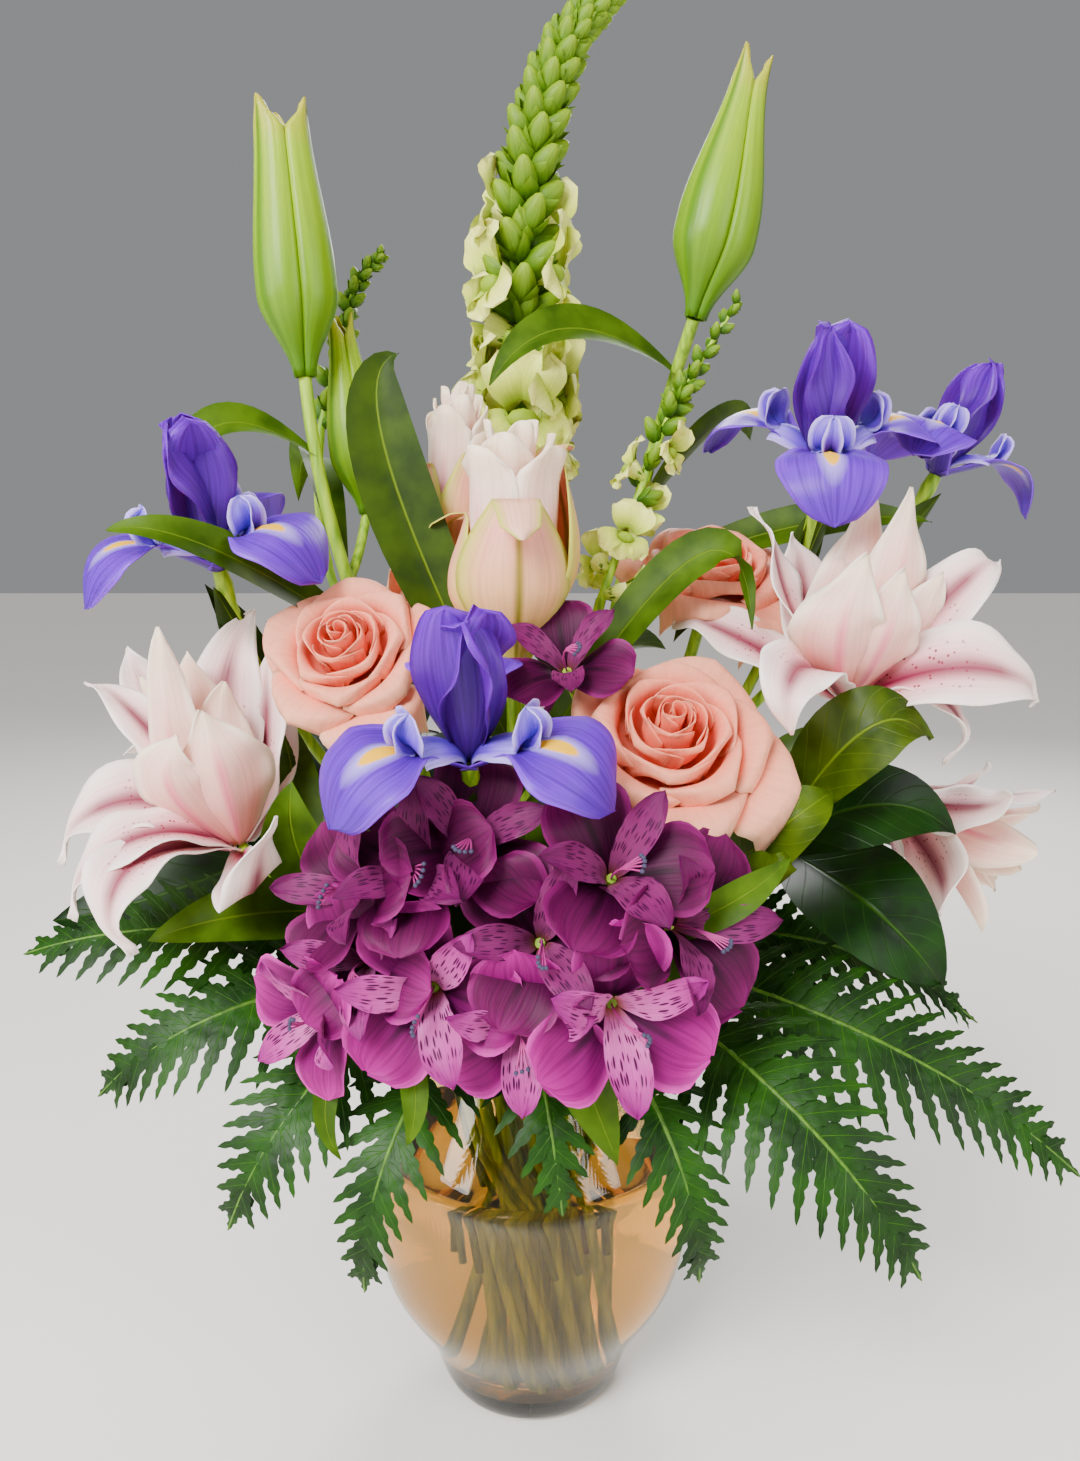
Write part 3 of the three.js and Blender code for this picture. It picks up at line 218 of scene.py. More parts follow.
# Open lilies. The two big blooms: the hub, then each tepal's middle, tip, width and the way its face looks,
# outer ones first. The small one: its place, the way it faces, turn, size, curl and scatter.
BIG_LILIES = {
    "lily_bloom_left": ((-112, -64, 268), [
        ((-141, -104, 271), (-144, -112, 238), 27, (0, -0.5, 0.85)),
        ((-142, -92, 279), (-173, -96, 251), 29, (0, -0.4, 0.9)),
        ((-149, -72, 289), (-184, -76, 268), 35, (0, -0.65, 0.75)),
        ((-142, -62, 309), (-174, -52, 337), 20, (0.5, -0.7, 0.5)),
        ((-144, -42, 309), (-168, -26, 346), 29, (0.2, -0.9, 0.3)),
        ((-122, -46, 318), (-113, -32, 361), 33, (0.1, -0.95, 0.3)),
        ((-105, -50, 304), (-106, -44, 351), 26, (-0.5, -0.8, 0.3)),
        ((-98, -102, 262), (-89, -120, 296), 27, (-0.2, -0.5, 0.85)),
        ((-140, -34, 292), (-170, -10, 304), 32, (0.2, 0.5, 0.8)),
        ((-112, -30, 300), (-118, 6, 330), 32, (0, 0.3, 0.9)),
    ], [
        ((-132, -72, 299), (-136, -72, 354), 29, (0.1, 0.9, 0.3)),
        ((-130, -88, 295), (-125, -90, 315), 35, (0.1, 0.9, 0.1)),
        ((-111, -88, 300), (-118, -86, 323), 37, (-0.2, 0.9, 0.1)),
        ((-129, -58, 309), (-132, -52, 343), 30, (0, 0.9, 0.3)),
        ((-118, -66, 302), (-117, -60, 332), 30, (-0.2, 0.9, 0.3)),
        ((-139, -54, 297), (-152, -46, 333), 29, (0.2, 0.9, 0.3)),
    ]),
    "lily_bloom_right": ((128, -38, 322), [
        ((161, -72, 339), (201, -62, 326), 35, (0, -0.85, 0.55)),
        ((158, -52, 361), (188, -40, 384), 29, (-0.3, -0.85, 0.5)),
        ((113, -26, 359), (112, -20, 391), 29, (0.3, -0.9, 0.2)),
        ((102, -42, 363), (96, -34, 401), 23, (0.8, -0.5, 0.2)),
        ((98, -84, 340), (90, -100, 317), 30, (0, -0.7, 0.7)),
        ((86, -34, 347), (59, -32, 357), 23, UPWARD),
        ((157, -62, 326), (170, -58, 299), 24, (0.2, -0.3, 0.9)),
        ((140, -4, 346), (158, 28, 362), 32, (0.3, 0.4, 0.9)),
        ((118, 2, 340), (108, 34, 352), 30, (-0.2, 0.5, 0.8)),
    ], [
        ((130, -46, 363), (133, -40, 407), 27, (0, 0.9, 0.2)),
        ((140, -56, 364), (146, -46, 405), 27, (-0.1, 0.9, 0.2)),
        ((114, -78, 350), (124, -72, 378), 37, (0.1, 0.9, 0.1)),
        ((131, -74, 348), (139, -66, 373), 34, (-0.1, 0.9, 0.1)),
        ((126, -44, 361), (128, -40, 392), 32, (0, 0.9, 0.3)),
        ((145, -58, 346), (158, -50, 373), 29, (-0.2, 0.9, 0.3)),
    ]),
}
SMALL_LILIES = {"lily_bloom_low_right": ((160, 14, 272), (0.75, -0.25, -0.4), 10, 0.72, -30, 2)}
# Half-open lilies: place, facing, turn, height and width. Buds: place, facing, length, half width and mouth.
LILY_HALF_OPEN = {
    "lily_half_open_front": ((-6, -58, 338), (0, -0.05, 1), 0, 92, 49),
    "lily_half_open_back": ((-33, -25, 362), (0.05, 0, 1), 40, 86, 32),
}
LILY_BUDS = {
    "lily_bud_left": ((-96, 5, 456), (-0.07, 0, 1), 108, 16.5, 0.66),
    "lily_bud_small": ((-74, 25, 400), (-0.12, 0, 1), 86, 12.5, 0.42),
    "lily_bud_right": ((69, 5, 480), (0.22, 0, 1), 109, 17, 0.4),
}

# Alstroemeria blooms lower than this are paler. Ferns: steps between leaflets and between their teeth.
PALE_BELOW = 262
PINNA_STEP = 11.5
LOBE_STEP = 5.0
ROSE_PETALS = 26

# Studio, in metres and degrees: the photograph's view is level with the lilies and looks a little down.
FLOOR_SIZE = 40.0
CAMERA_AT = (0.004, -0.490, 0.374)
CAMERA_DOWN = 8
FOCAL_SHARE = 1125 / 1461  # focal length as a share of the picture's height


# --- Small tools ---
def wobble(i, k):
    """A small even scatter between -1 and 1, the same each time for the same pair of numbers."""
    return sin(12.9 * i + 7.3 * k + 1.1)


def smooth(t, start=0, span=1):
    """Eases 0 to 1 while t goes from `start` over `span`."""
    t = min(max((t - start) / span, 0), 1)
    return t * t * (3 - 2 * t)


def frill(u, t, beats, phase, lean, power=2):
    """A wave along a petal's edges that dies away to its middle."""
    return abs(u) ** power * sin(beats * t + phase + lean * u)


def outline(widest, base=0, tip=0, swell=1, taper=0.6):
    """Half width along a petal or leaf, as a share of the one at `widest`."""
    def half(t):
        if t < widest:
            return base + (1 - base) * sin(pi / 2 * t / widest) ** swell
        ease = cos(pi / 2 * (t - widest) / (1 - widest))
        return tip + (1 - tip) * max(ease, 0) ** taper

    return half


def turning(rise, curl, bend=1):
    """Pitch in degrees that turns from rise to curl."""
    return lambda t: rise + (curl - rise) * t ** bend


def cupped(depth):
    """Relief of a petal or leaf that is hollow across."""
    return lambda u, t, half: depth * half * u * u


def standing(at, facing, roll=0):
    """The matrix that stands a shape made round +Z at `at`, facing `facing`, turned by `roll` degrees."""
    turn = UP.rotation_difference(Vector(facing).normalized()).to_matrix().to_4x4()
    return Matrix.Translation(at) @ turn @ Matrix.Rotation(radians(roll), 4, "Z")


def around(place, degrees, lift=0):
    """`place`, turned about its own axis and raised along it."""
    return place @ Matrix.Translation((0, 0, lift)) @ Matrix.Rotation(radians(degrees), 4, "Z")


# --- Lines of points ---
def point_on(line, share):
    """The point at a share of a line of evenly numbered points."""
    spot = min(max(share, 0), 1) * (len(line) - 1)
    low = min(int(spot), len(line) - 2)
    return line[low].lerp(line[low + 1], spot - low)


def heading_on(line, share):
    low = min(int(share * (len(line) - 1)), len(line) - 2)
    return (line[low + 1] - line[low]).normalized()


def length_of(line):
    return sum((a - b).length for a, b in zip(line, line[1:]))


def bowed(root, middle, tip, count):
    """A line of points from root through middle to tip."""
    root, middle, tip = Vector(root), Vector(middle), Vector(tip)
    control = middle * 2 - root * 0.5 - tip * 0.5
    shares = [i / count for i in range(count + 1)]
    return [root * (1 - t) ** 2 + control * (2 * t * (1 - t)) + tip * t * t for t in shares]


def eased(points, steps):
    """A smooth line through a few points."""
    points = [Vector(point) for point in points]
    line = []
    for i, (a, b) in enumerate(zip(points, points[1:])):
        before = points[max(i - 1, 0)]
        after = points[min(i + 2, len(points) - 1)]
        for step in range(steps):
            t = step / steps
            line.append(0.5 * (2 * a + (b - before) * t + (2 * before - 5 * a + 4 * b - after) * t ** 2
                               + (3 * a - before - 3 * b + after) * t ** 3))
    return line + [points[-1]]


def neck_points():
    """Gives every stem its own place on its circle at the neck, in the order of the ends' bearings."""
    necks = {}
    for ring, radius in enumerate(RING_RADIUS):
        members = sorted(
            (atan2(end[1], end[0]), name) for name, (own, end, *_) in STEMS.items() if own == ring)
        share = 2 * pi / len(members)
        offset = sum(bearing - k * share for k, (bearing, _) in enumerate(members)) / len(members)
        for k, (_, name) in enumerate(members):
            turn = offset + k * share
            necks[name] = Vector((radius * cos(turn), radius * sin(turn), NECK_Z))
    return necks


NECKS = neck_points()


# --- Building blocks of a piece ---
def paint(bm, verts, tone, finish):
    """Gives new verts their tone and their faces a finish."""
    layer = bm.verts.layers.float["tone"]
    for vert in verts:
        vert[layer] = tone
        for face in vert.link_faces:
            face.material_index = finish
            face.smooth = True


def sheet(bm, rows, cols, put, tone=0, finish=0):
    """A grid bent into shape: put(u, t) is the place of the point at u (-1 to 1) across and share t along."""
    verts = bmesh.ops.create_grid(bm, x_segments=cols, y_segments=rows, size=1, calc_uvs=True)["verts"]
    for vert in verts:
        vert.co = put(vert.co.x, (vert.co.y + 1) / 2)
    paint(bm, verts, tone, finish)


def blade(bm, frames, cols, relief, tone=0, finish=0, place=Matrix.Identity(4)):
    """A petal or leaf through frames (at, side, face, half width); relief(u, t, half) bends it."""
    rows = len(frames) - 1

    def put(u, t):
        at, side, face, half = frames[round(t * rows)]
        return place @ (at + side * (u * half) + face * relief(u, t, half))

    sheet(bm, rows, cols, put, tone, finish)


def petal(bm, place, length, width, shape, pitch, relief, root, sway=0, rows=12, cols=8, tone=0,
          finish=0):
    """A petal along +Y from `root`, with pitch(t) in degrees and shape(t) of the width; gives its tip."""
    frames = []
    at = Vector((0, root, 0))
    for row in range(rows + 1):
        t = row / rows
        angle = radians(pitch(t))
        if row:
            middle = radians(pitch(t - 0.5 / rows))
            at = at + Vector((0, cos(middle), sin(middle))) * (length / rows)
        face = Vector((0, -sin(angle), cos(angle)))
        lean = Vector((sway * length * t * t, 0, 0))
        frames.append((at + lean, Vector((1, 0, 0)), face, width / 2 * shape(t)))
    blade(bm, frames, cols, relief, tone, finish, place)
    return frames[-1][0]


def leaf(bm, line, width, shape, facing, cols, relief, tone=0, finish=1):
    """A leaf along a line of points, with its face towards `facing`."""
    across = (line[-1] - line[0]).cross(Vector(facing)).normalized()
    last = len(line) - 1
    frames = []
    for i, at in enumerate(line):
        along = (line[min(i + 1, last)] - line[max(i - 1, 0)]).normalized()
        side = (across - along * across.dot(along)).normalized()
        frames.append((at, side, side.cross(along).normalized(), width / 2 * shape(i / last)))
    blade(bm, frames, cols, relief, tone, finish)


def wrapped(bm, rows, cols, place, spread, radius, height, tone=0, finish=0):
    """A petal bent round the axis: half angle spread(t), and radius(u, t) and height(u, t)."""
    def put(u, t):
        angle = u * spread(t)
        r = radius(u, t)
        return place @ Vector((r * sin(angle), r * cos(angle), height(u, t)))

    sheet(bm, rows, cols, put, tone, finish)


def in_scene(name, data, at=(0, 0, 0), turn=(0, 0, 0)):
    thing = bpy.data.objects.new(name, data)
    thing.location = at
    thing.rotation_euler = turn
    bpy.context.scene.collection.objects.link(thing)
    return thing


def rods(bm, lines, fineness=2, finish=0):
    """Round rods along lines of (point, radius), with closed ends."""
    curve = bpy.data.curves.new("rods", "CURVE")
    curve.dimensions = "3D"
    curve.bevel_depth = 1
    curve.bevel_resolution = fineness
    curve.use_fill_caps = True
    for line in lines:
        spline = curve.splines.new("POLY")
        spline.points.add(len(line) - 1)
        for point, (at, radius) in zip(spline.points, line):
            point.co = (*at, 1)
            point.radius = radius
    holder = in_scene("rods", curve)
    mesh = bpy.data.meshes.new_from_object(holder)
    count = len(bm.verts)
    bm.from_mesh(mesh)
    bm.verts.ensure_lookup_table()
    paint(bm, bm.verts[count:], 0, finish)
    bpy.data.objects.remove(holder)
    bpy.data.curves.remove(curve)
    bpy.data.meshes.remove(mesh)


def stem(bm, name, girth, taper=0, fineness=2, finish=0):
    """A stem, straight through water and neck, then bent to what it carries; gives the line of its bend."""
    neck = NECKS[name]
    end, facing = map(Vector, STEMS[name][1:3])
    foot = Matrix.Rotation(radians(SPIRAL_TURN), 3, "Z") @ neck * SPIRAL_DRAW
    foot.z = FOOT_Z
    leaving = (neck - foot).normalized()
    if name.startswith(SHORT):
        foot = foot.lerp(neck, (SHORT_FOOT_Z - FOOT_Z) / (NECK_Z - FOOT_Z))
    reach = (end - neck).length * BEND_REACH
    arriving = facing.normalized()
    line = interpolate_bezier(neck, neck + leaving * reach, end - arriving * reach, end, BEND_POINTS)
    bend = [(p, girth - taper * i / BEND_POINTS) for i, p in enumerate(line)]
    rods(bm, [[(foot, girth), *bend]], fineness, finish)
    return line


def build(name, node, slot, finishes, make, *details, thickness=0):
    """Makes a piece with `make`, in millimetres, and puts it in metres in place of its solid."""
    bm = bmesh.new()
    bm.loops.layers.uv.new("UVMap")
    bm.verts.layers.float.new("tone")
    make(bm, *details)
    bmesh.ops.scale(bm, vec=Vector((MM, MM, MM)), verts=bm.verts)
    mesh = bpy.data.meshes.new(name)
    bm.to_mesh(mesh)
    bm.free()
    for finish in finishes:
        mesh.materials.append(finish)
    piece = in_scene(name, mesh)
    if thickness:
        shell = piece.modifiers.new("thickness", "SOLIDIFY")
        shell.thickness = thickness * MM
        shell.offset = 0
    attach(piece, "root")
    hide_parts(node)


# --- Finishes ---
def colour(hex_value):
    """An sRGB hex value as linear red, green, blue and full alpha."""
    channels = [int(hex_value[i:i + 2], 16) / 255 for i in (1, 3, 5)]
    linear = [c / 12.92 if c <= 0.04045 else ((c + 0.055) / 1.055) ** 2.4 for c in channels]
    return (*linear, 1)


def add_node(tree, kind, inputs=None, out=0, stops=(), **settings):
    """Adds a node and gives its output; each input is a value or another output, and stops fill a ramp."""
    made = tree.nodes.new("ShaderNode" + kind)
    for key, value in settings.items():
        setattr(made, key, value)
    for socket, value in (inputs or {}).items():
        if isinstance(value, bpy.types.NodeSocket):
            tree.links.new(value, made.inputs[socket])
        else:
            made.inputs[socket].default_value = value
    if stops:
        elements = made.color_ramp.elements
        while len(elements) < len(stops):
            elements.new(0.5)
        for element, (share, value) in zip(elements, stops):
            element.position = share
            element.color = colour(value) if isinstance(value, str) else (value, value, value, 1)
    return made.outputs[out]


def new_finish(name, **sockets):
    """A material, its shader, and add_node for its tree."""
    finish = bpy.data.materials.new(name)
    finish.use_nodes = True
    shader = finish.node_tree.nodes["Principled BSDF"]
    for socket, value in sockets.items():
        shader.inputs[socket.replace("_", " ")].default_value = value
    return finish, shader, partial(add_node, finish.node_tree)


def surface_map(add):
    """The map of a petal or leaf, its share across (0 in the middle, 1 at the edges) and its share along."""
    uv = add("UVMap", uv_map="UVMap")
    centred = add("Mapping", {0: uv, 1: (-1, 0, 0), 3: (2.0, 1, 1)})
    across = add("Math", {0: add("SeparateXYZ", {0: centred})}, operation="ABSOLUTE")
    return uv, across, add("SeparateXYZ", {0: centred}, 1)


def tone_shade(add, stops):
    """The shade that goes with a petal's or leaf's own tone."""
    return add("ValToRGB", {0: add("Attribute", out=2, attribute_name="tone")}, stops=stops)


def coat(finish, shader, add, shade, layers, bump=None, **relief):
    """Lays layers over a shade, each of masks (a value and its ramp), a colour and a way to mix."""
    for masks, over, how in layers:
        share = 1
        for value, stops in masks:
            mask = add("ValToRGB", {0: value}, stops=stops)
            share = add("Math", {0: share, 1: mask}, operation="MULTIPLY")
        over = colour(over) if isinstance(over, str) else over
        shade = add("Mix", {0: share, 6: shade, 7: over}, 2, data_type="RGBA", blend_type=how)
    finish.node_tree.links.new(shade, shader.inputs["Base Color"])
    if bump:
        finish.node_tree.links.new(add("Bump", bump, **relief), shader.inputs["Normal"])
    return finish


def petal_finish(name, along, rim=None, rim_from=0.55, stripe=None, stripe_width=0.16, stripe_ends=(0.1, 0.8),
                 spots=None, veins=0.12, vein_count=26, roughness=0.5, glow=0.25, tones=None, gloss=0.35,
                 marks=None):
    """A fresh petal: thin wet cells that scatter light inside and give a soft satin gloss."""
    finish, shader, add = new_finish(
        name, Roughness=roughness, Subsurface_Weight=glow, Subsurface_Scale=0.0018,
        Subsurface_Radius=(1, 0.6, 0.5), IOR=1.4, Specular_IOR_Level=gloss,
    )
    uv, across, length = surface_map(add)
    stretched = add("Mapping", {0: uv, 3: (vein_count, 1.6, 1)})
    grain = add("TexNoise", {"Vector": stretched, "Scale": 1, "Detail": 2.0})
    veined = add("ValToRGB", {0: grain}, stops=[(0.35, 1 - veins * 2), (0.62, 1)])
    layers = []
    if rim:
        layers.append(([(across, [(rim_from, 0), (0.97, 1)])], rim, "MIX"))
    if stripe:
        start, end = stripe_ends
        near = (across, [(0, 1), (stripe_width, 0.75), (stripe_width * 2.6, 0)])
        span = (length, [(0, 0.4), (start, 1), (end - 0.25, 0.9), (end, 0)])
        layers.append(([near, span], stripe, "MIX"))
    layers.append(([], veined, "MULTIPLY"))
    if spots:
        scattered = add("Mapping", {0: uv, 3: (12, 32, 1)})
        dots = add("TexVoronoi", {"Vector": scattered, "Scale": 1})
        span = (length, [(0.08, 0), (0.16, 1), (0.5, 0.9), (0.62, 0)])
        inner = (across, [(0.45, 1), (0.75, 0)])
        layers.append(([(dots, [(0.17, 1), (0.24, 0)]), span, inner], spots, "MIX"))
    if tones:
        layers.append(([], tone_shade(add, tones), "MULTIPLY"))
    if marks:
        layers += marks(add, uv, length)
    shade = add("ValToRGB", {0: length}, stops=along)
    return coat(finish, shader, add, shade, layers, {"Strength": 0.35, "Distance": 0.0006, "Height": grain})


def iris_signal(add, uv, length):
    """The gold signal of a fall in its pale edge, round a point a little above the claw."""
    spread = (2.9, 1.7)
    round_it = add("Mapping", {0: uv, 1: (-0.5 * spread[0], -0.52 * spread[1], 0), 3: (*spread, 1)})
    away = add("VectorMath", {0: round_it}, 1, operation="LENGTH")
    return [([(away, [(0.22, 0.6), (0.46, 0)])], "#C0B0F8", "MIX"),
            ([(away, [(0.19, 1), (0.24, 0)])], "#F0B000", "MIX")]


def dashes(add, uv, length):
    """Short dark dashes along the veins of an inner alstroemeria tepal."""
    cells = add("Mapping", {0: uv, 3: (13, 6, 1)})
    spots = add("TexVoronoi", {"Vector": cells, "Scale": 1, "Randomness": 0.5})
    span = [(0.1, 0), (0.3, 1), (0.75, 1), (0.9, 0)]
    return [([(spots, [(0.28, 1), (0.4, 0)]), (length, span)], "#3A0630", "MIX")]


# Iris: blue-violet falls with fine darker veins, paler style arms and darker standards.
IRIS_FALL = petal_finish(
    "iris_fall", [(0, "#3E0684"), (0.4, "#520EAA"), (0.65, "#6618C6"), (1, "#4E0AA6")], rim="#7C30E0",
    rim_from=0.8, veins=0.2, vein_count=34, roughness=0.42, marks=iris_signal,
)
IRIS_ARM = petal_finish(
    "iris_style_arm", [(0, "#4818A0"), (0.5, "#6A3CD2"), (1, "#A088F4")], rim="#BCA8FC", rim_from=0.7,
    stripe="#4C28B8", stripe_ends=(0.1, 0.95), roughness=0.42,
)
IRIS_STANDARD = petal_finish(
    "iris_standard", [(0, "#2C005C"), (0.6, "#500094"), (1, "#6A08C0")], veins=0.2, roughness=0.42,
)
# Peach rose: matt velvety petals, deeper in the heart than outside.
ROSE = petal_finish(
    "rose_petal", [(0, "#F0826C"), (0.45, "#FA9078"), (0.85, "#FFA68A"), (1, "#FFB89A")], veins=0.04,
    rim="#FFBC9C", rim_from=0.85, roughness=0.6, glow=0.5,
    tones=[(0, "#FFC0B4"), (0.35, "#FFD4CA"), (0.75, "#FFF0EA"), (1, "#FFFAF6")],
)
# Lilies: pale pink with a crimson stripe and spots, plain inner tepals, and green-edged ones still opening.
LILY_OUTER = petal_finish(
    "lily_tepal", [(0, "#DC6C86"), (0.25, "#EEA0AC"), (0.6, "#F6C2C2"), (1, "#FFE4DA")], rim="#FFECE4",
    rim_from=0.35, stripe="#780034", stripe_width=0.15, stripe_ends=(0.08, 0.94), spots="#7C0028", veins=0.05,
    roughness=0.45, glow=0.15,
)
LILY_INNER = petal_finish(
    "lily_inner_tepal", [(0, "#F09C90"), (0.4, "#F8B6AA"), (0.8, "#FDCCBC"), (1, "#FFE2C4")],
    rim="#FFE4D0", rim_from=0.6, stripe="#EC7C90", stripe_width=0.06, veins=0.05, roughness=0.45, glow=0.35,
)
LILY_HALF = petal_finish(
    "lily_opening_tepal", [(0, "#B8AC38"), (0.3, "#E8B070"), (0.7, "#F6A48C"), (1, "#FCC0A4")],
    rim="#C4C44C", rim_from=0.5, stripe="#7C7400", stripe_width=0.035, stripe_ends=(0.05, 0.98), veins=0.08,
    roughness=0.42, glow=0.35,
)
LILY_BUD = petal_finish(
    "lily_bud_skin", [(0, "#487800"), (0.4, "#749C00"), (0.8, "#92B404"), (1, "#B4AC34")],
    stripe="#4C7800", stripe_width=0.07, stripe_ends=(0.02, 1.2), veins=0.1, vein_count=14, roughness=0.36,
)
# Snapdragon: cream petals and green buds.
SNAP_PETAL = petal_finish(
    "snapdragon_petal", [(0, "#8CA818"), (0.4, "#D0DC50"), (1, "#F2F28C")], veins=0.06, roughness=0.55,
    glow=0.35,
)
SNAP_GREEN = petal_finish(
    "snapdragon_bud", [(0, "#2E5600"), (0.5, "#587E04"), (1, "#8CA814")],
    tones=[(0, "#C8E0A0"), (1, "#FFFFFF")],
)
# Alstroemeria: magenta, with paler inner tepals; the blooms low in front are paler than those behind.
ALSTRO_TONES = [(0, "#A07C96"), (1, "#FFF4FA")]
ALSTRO_OUTER = petal_finish(
    "alstroemeria_tepal", [(0, "#380030"), (0.4, "#660052"), (0.8, "#88006A"), (1, "#A80C86")],
    rim="#C430A0", rim_from=0.78, stripe="#3C0030", stripe_width=0.05, veins=0.16, vein_count=30, glow=0.15,
    tones=ALSTRO_TONES, gloss=0.2,
)
ALSTRO_INNER = petal_finish(
    "alstroemeria_inner_tepal", [(0, "#B87C34"), (0.2, "#D070B0"), (0.7, "#B43C94"), (1, "#860A70")],
    veins=0.1, tones=ALSTRO_TONES, gloss=0.2, marks=dashes,
)


def leaf_finish(name, light, dark, rib, vein_slant, vein_count, roughness, gloss, vein_light=0.25):
    """A leaf: waxy skin over green cells, with a midrib and side veins that slant to the edge."""
    finish, shader, add = new_finish(
        name, Roughness=roughness, IOR=1.45, Subsurface_Weight=0.08, Subsurface_Scale=0.002,
        Subsurface_Radius=(0.4, 1, 0.2), Specular_IOR_Level=gloss,
    )
    _, across, length = surface_map(add)
    place = add("TexCoord", out="Object")
    patches = add("TexNoise", {"Vector": place, "Scale": 70.0, "Detail": 3.0})
    back = add("Math", {0: across, 1: -vein_slant}, operation="MULTIPLY")
    slant = add("Math", {0: length, 1: vein_count, 2: back}, operation="MULTIPLY_ADD")
    wave = add("Math", {0: slant, 1: pi}, operation="MULTIPLY")
    for operation in ("SINE", "ABSOLUTE"):
        wave = add("Math", {0: wave}, operation=operation)
    side_veins = add("ValToRGB", {0: wave}, stops=[(0, vein_light), (0.16, 0)])
    midrib = add("ValToRGB", {0: across}, stops=[(0.012, 0.7), (0.05, 0)])
    lines = add("Math", {0: side_veins, 1: midrib}, operation="MAXIMUM")
    shade = add("ValToRGB", {0: patches}, stops=[(0.35, dark), (0.65, light)])
    # Each leaf's own tone darkens it, down to half: mostly a random spread, and painted shade on the broad
    # lily leaf.
    layers = [([], tone_shade(add, [(0, 0.5), (1, 1)]), "MULTIPLY"),
              ([(lines, [(0, 0), (1, 1)])], rib, "MIX")]
    bump = {"Strength": 0.5, "Distance": 0.0008, "Height": lines}
    return coat(finish, shader, add, shade, layers, bump, invert=True)


SALAL = leaf_finish("salal_leaf", "#0E3400", "#041C00", "#2C5004", 2.2, 9.0, 0.42, 0.2)
YOUNG_SALAL = leaf_finish("young_salal_leaf", "#465C00", "#283E00", "#667C0C", 2.2, 9.0, 0.42, 0.18)
LILY_LEAF = leaf_finish("lily_leaf", "#466400", "#2C4600", "#667E08", 0, 0, 0.5, 0.15, 0)
FERN_LEAF = leaf_finish("leatherleaf", "#1C4800", "#0A2A00", "#3A6C06", 1.5, 5.0, 0.45, 0.22, 0.3)


def stem_finish(name, pale, dark, roughness=0.5):
    """A green stem: smooth skin with paler streaks along it."""
    finish, shader, add = new_finish(
        name, Roughness=roughness, IOR=1.42, Subsurface_Weight=0.05, Subsurface_Scale=0.002)
    long_way = add("Mapping", {0: add("TexCoord", out="Object"), 3: (420.0, 420.0, 26.0)})
    streaks = add("TexNoise", {"Vector": long_way, "Scale": 1, "Detail": 2.0})
    return coat(finish, shader, add, add("ValToRGB", {0: streaks}, stops=[(0.35, dark), (0.65, pale)]), [])


STEM = stem_finish("green_stem", "#A4C81A", "#6C980A")
FERN_STALK = stem_finish("fern_stalk", "#4E7814", "#345808")
TWIG = stem_finish("brown_twig", "#6E5A30", "#4A3A1C", 0.6)
# Powdery anthers on smooth pink threads.
STAMEN, _, _ = new_finish("stamen", Base_Color=colour("#A8307C"), Roughness=0.5)
ANTHER, _, _ = new_finish("anther", Base_Color=colour("#3A3450"), Roughness=0.8)
# Clear blown glass, a little amber where it is thick: a hard smooth skin that mirrors and bends the room.
GLASS, _, _ = new_finish(
    "clear_glass", Base_Color=colour("#F4DEB0"), Roughness=0, IOR=1.48, Transmission_Weight=1)
# Water, a little yellowed by the stems.
WATER, _, _ = new_finish(
    "vase_water", Base_Color=colour("#E4C064"), Roughness=0, IOR=1.33, Transmission_Weight=1)
# Matt painted studio floor.
FLOOR, _, _ = new_finish("pale_floor", Base_Color=colour("#EEEAE3"), Roughness=0.7)


# --- Vase and water ---
def turned(bm, line):
    """A body turned from a line of (radius, height) that starts and ends on the axis."""
    verts = [bm.verts.new((r, 0, z)) for r, z in line]
    edges = [bm.edges.new(pair) for pair in zip(verts, verts[1:])]
    bmesh.ops.spin(
        bm, geom=verts + edges, cent=(0, 0, 0), axis=(0, 0, 1), dvec=(0, 0, 0), angle=2 * pi,
        steps=VASE_STEPS, use_merge=True,
    )
    bmesh.ops.remove_doubles(bm, verts=bm.verts, dist=0.01)
    bmesh.ops.recalc_face_normals(bm, faces=bm.faces)
    for face in bm.faces:
        face.smooth = True


glass_inside = eased(VASE_INSIDE, 6)
glass_line = [(0, 0), *eased(VASE_OUTSIDE, 6), *glass_inside, (0, VASE_FLOOR)]
build("vase_glass", "vase", "glass", [GLASS], turned, glass_line)
wall = [(r + WATER_BITE, z) for r, z in glass_inside if z < WATER_Z - 1]
rim = wall[0][0]
water_line = [(0, WATER_Z), (rim - 3, WATER_Z), (rim, WATER_Z + 0.8), *wall, (0, VASE_FLOOR - WATER_BITE)]
build("vase_filling", "water", "water", [WATER], turned, water_line)


# --- Irises ---
def fall_outline(t):
    """Narrow claw, then a broad round blade with a blunt point."""
    claw_end, broadest = 0.3, 0.42
    claw = 0.3 + 0.12 * t
    if t < claw_end:
        return claw
    q = (t - claw_end) / 0.7
    if q < broadest:
        return claw + (1 - claw) * smooth(q, 0, 0.38)
    return cos(pi / 2 * (q - broadest) / 0.58) ** 0.5 if q < 1 else 0


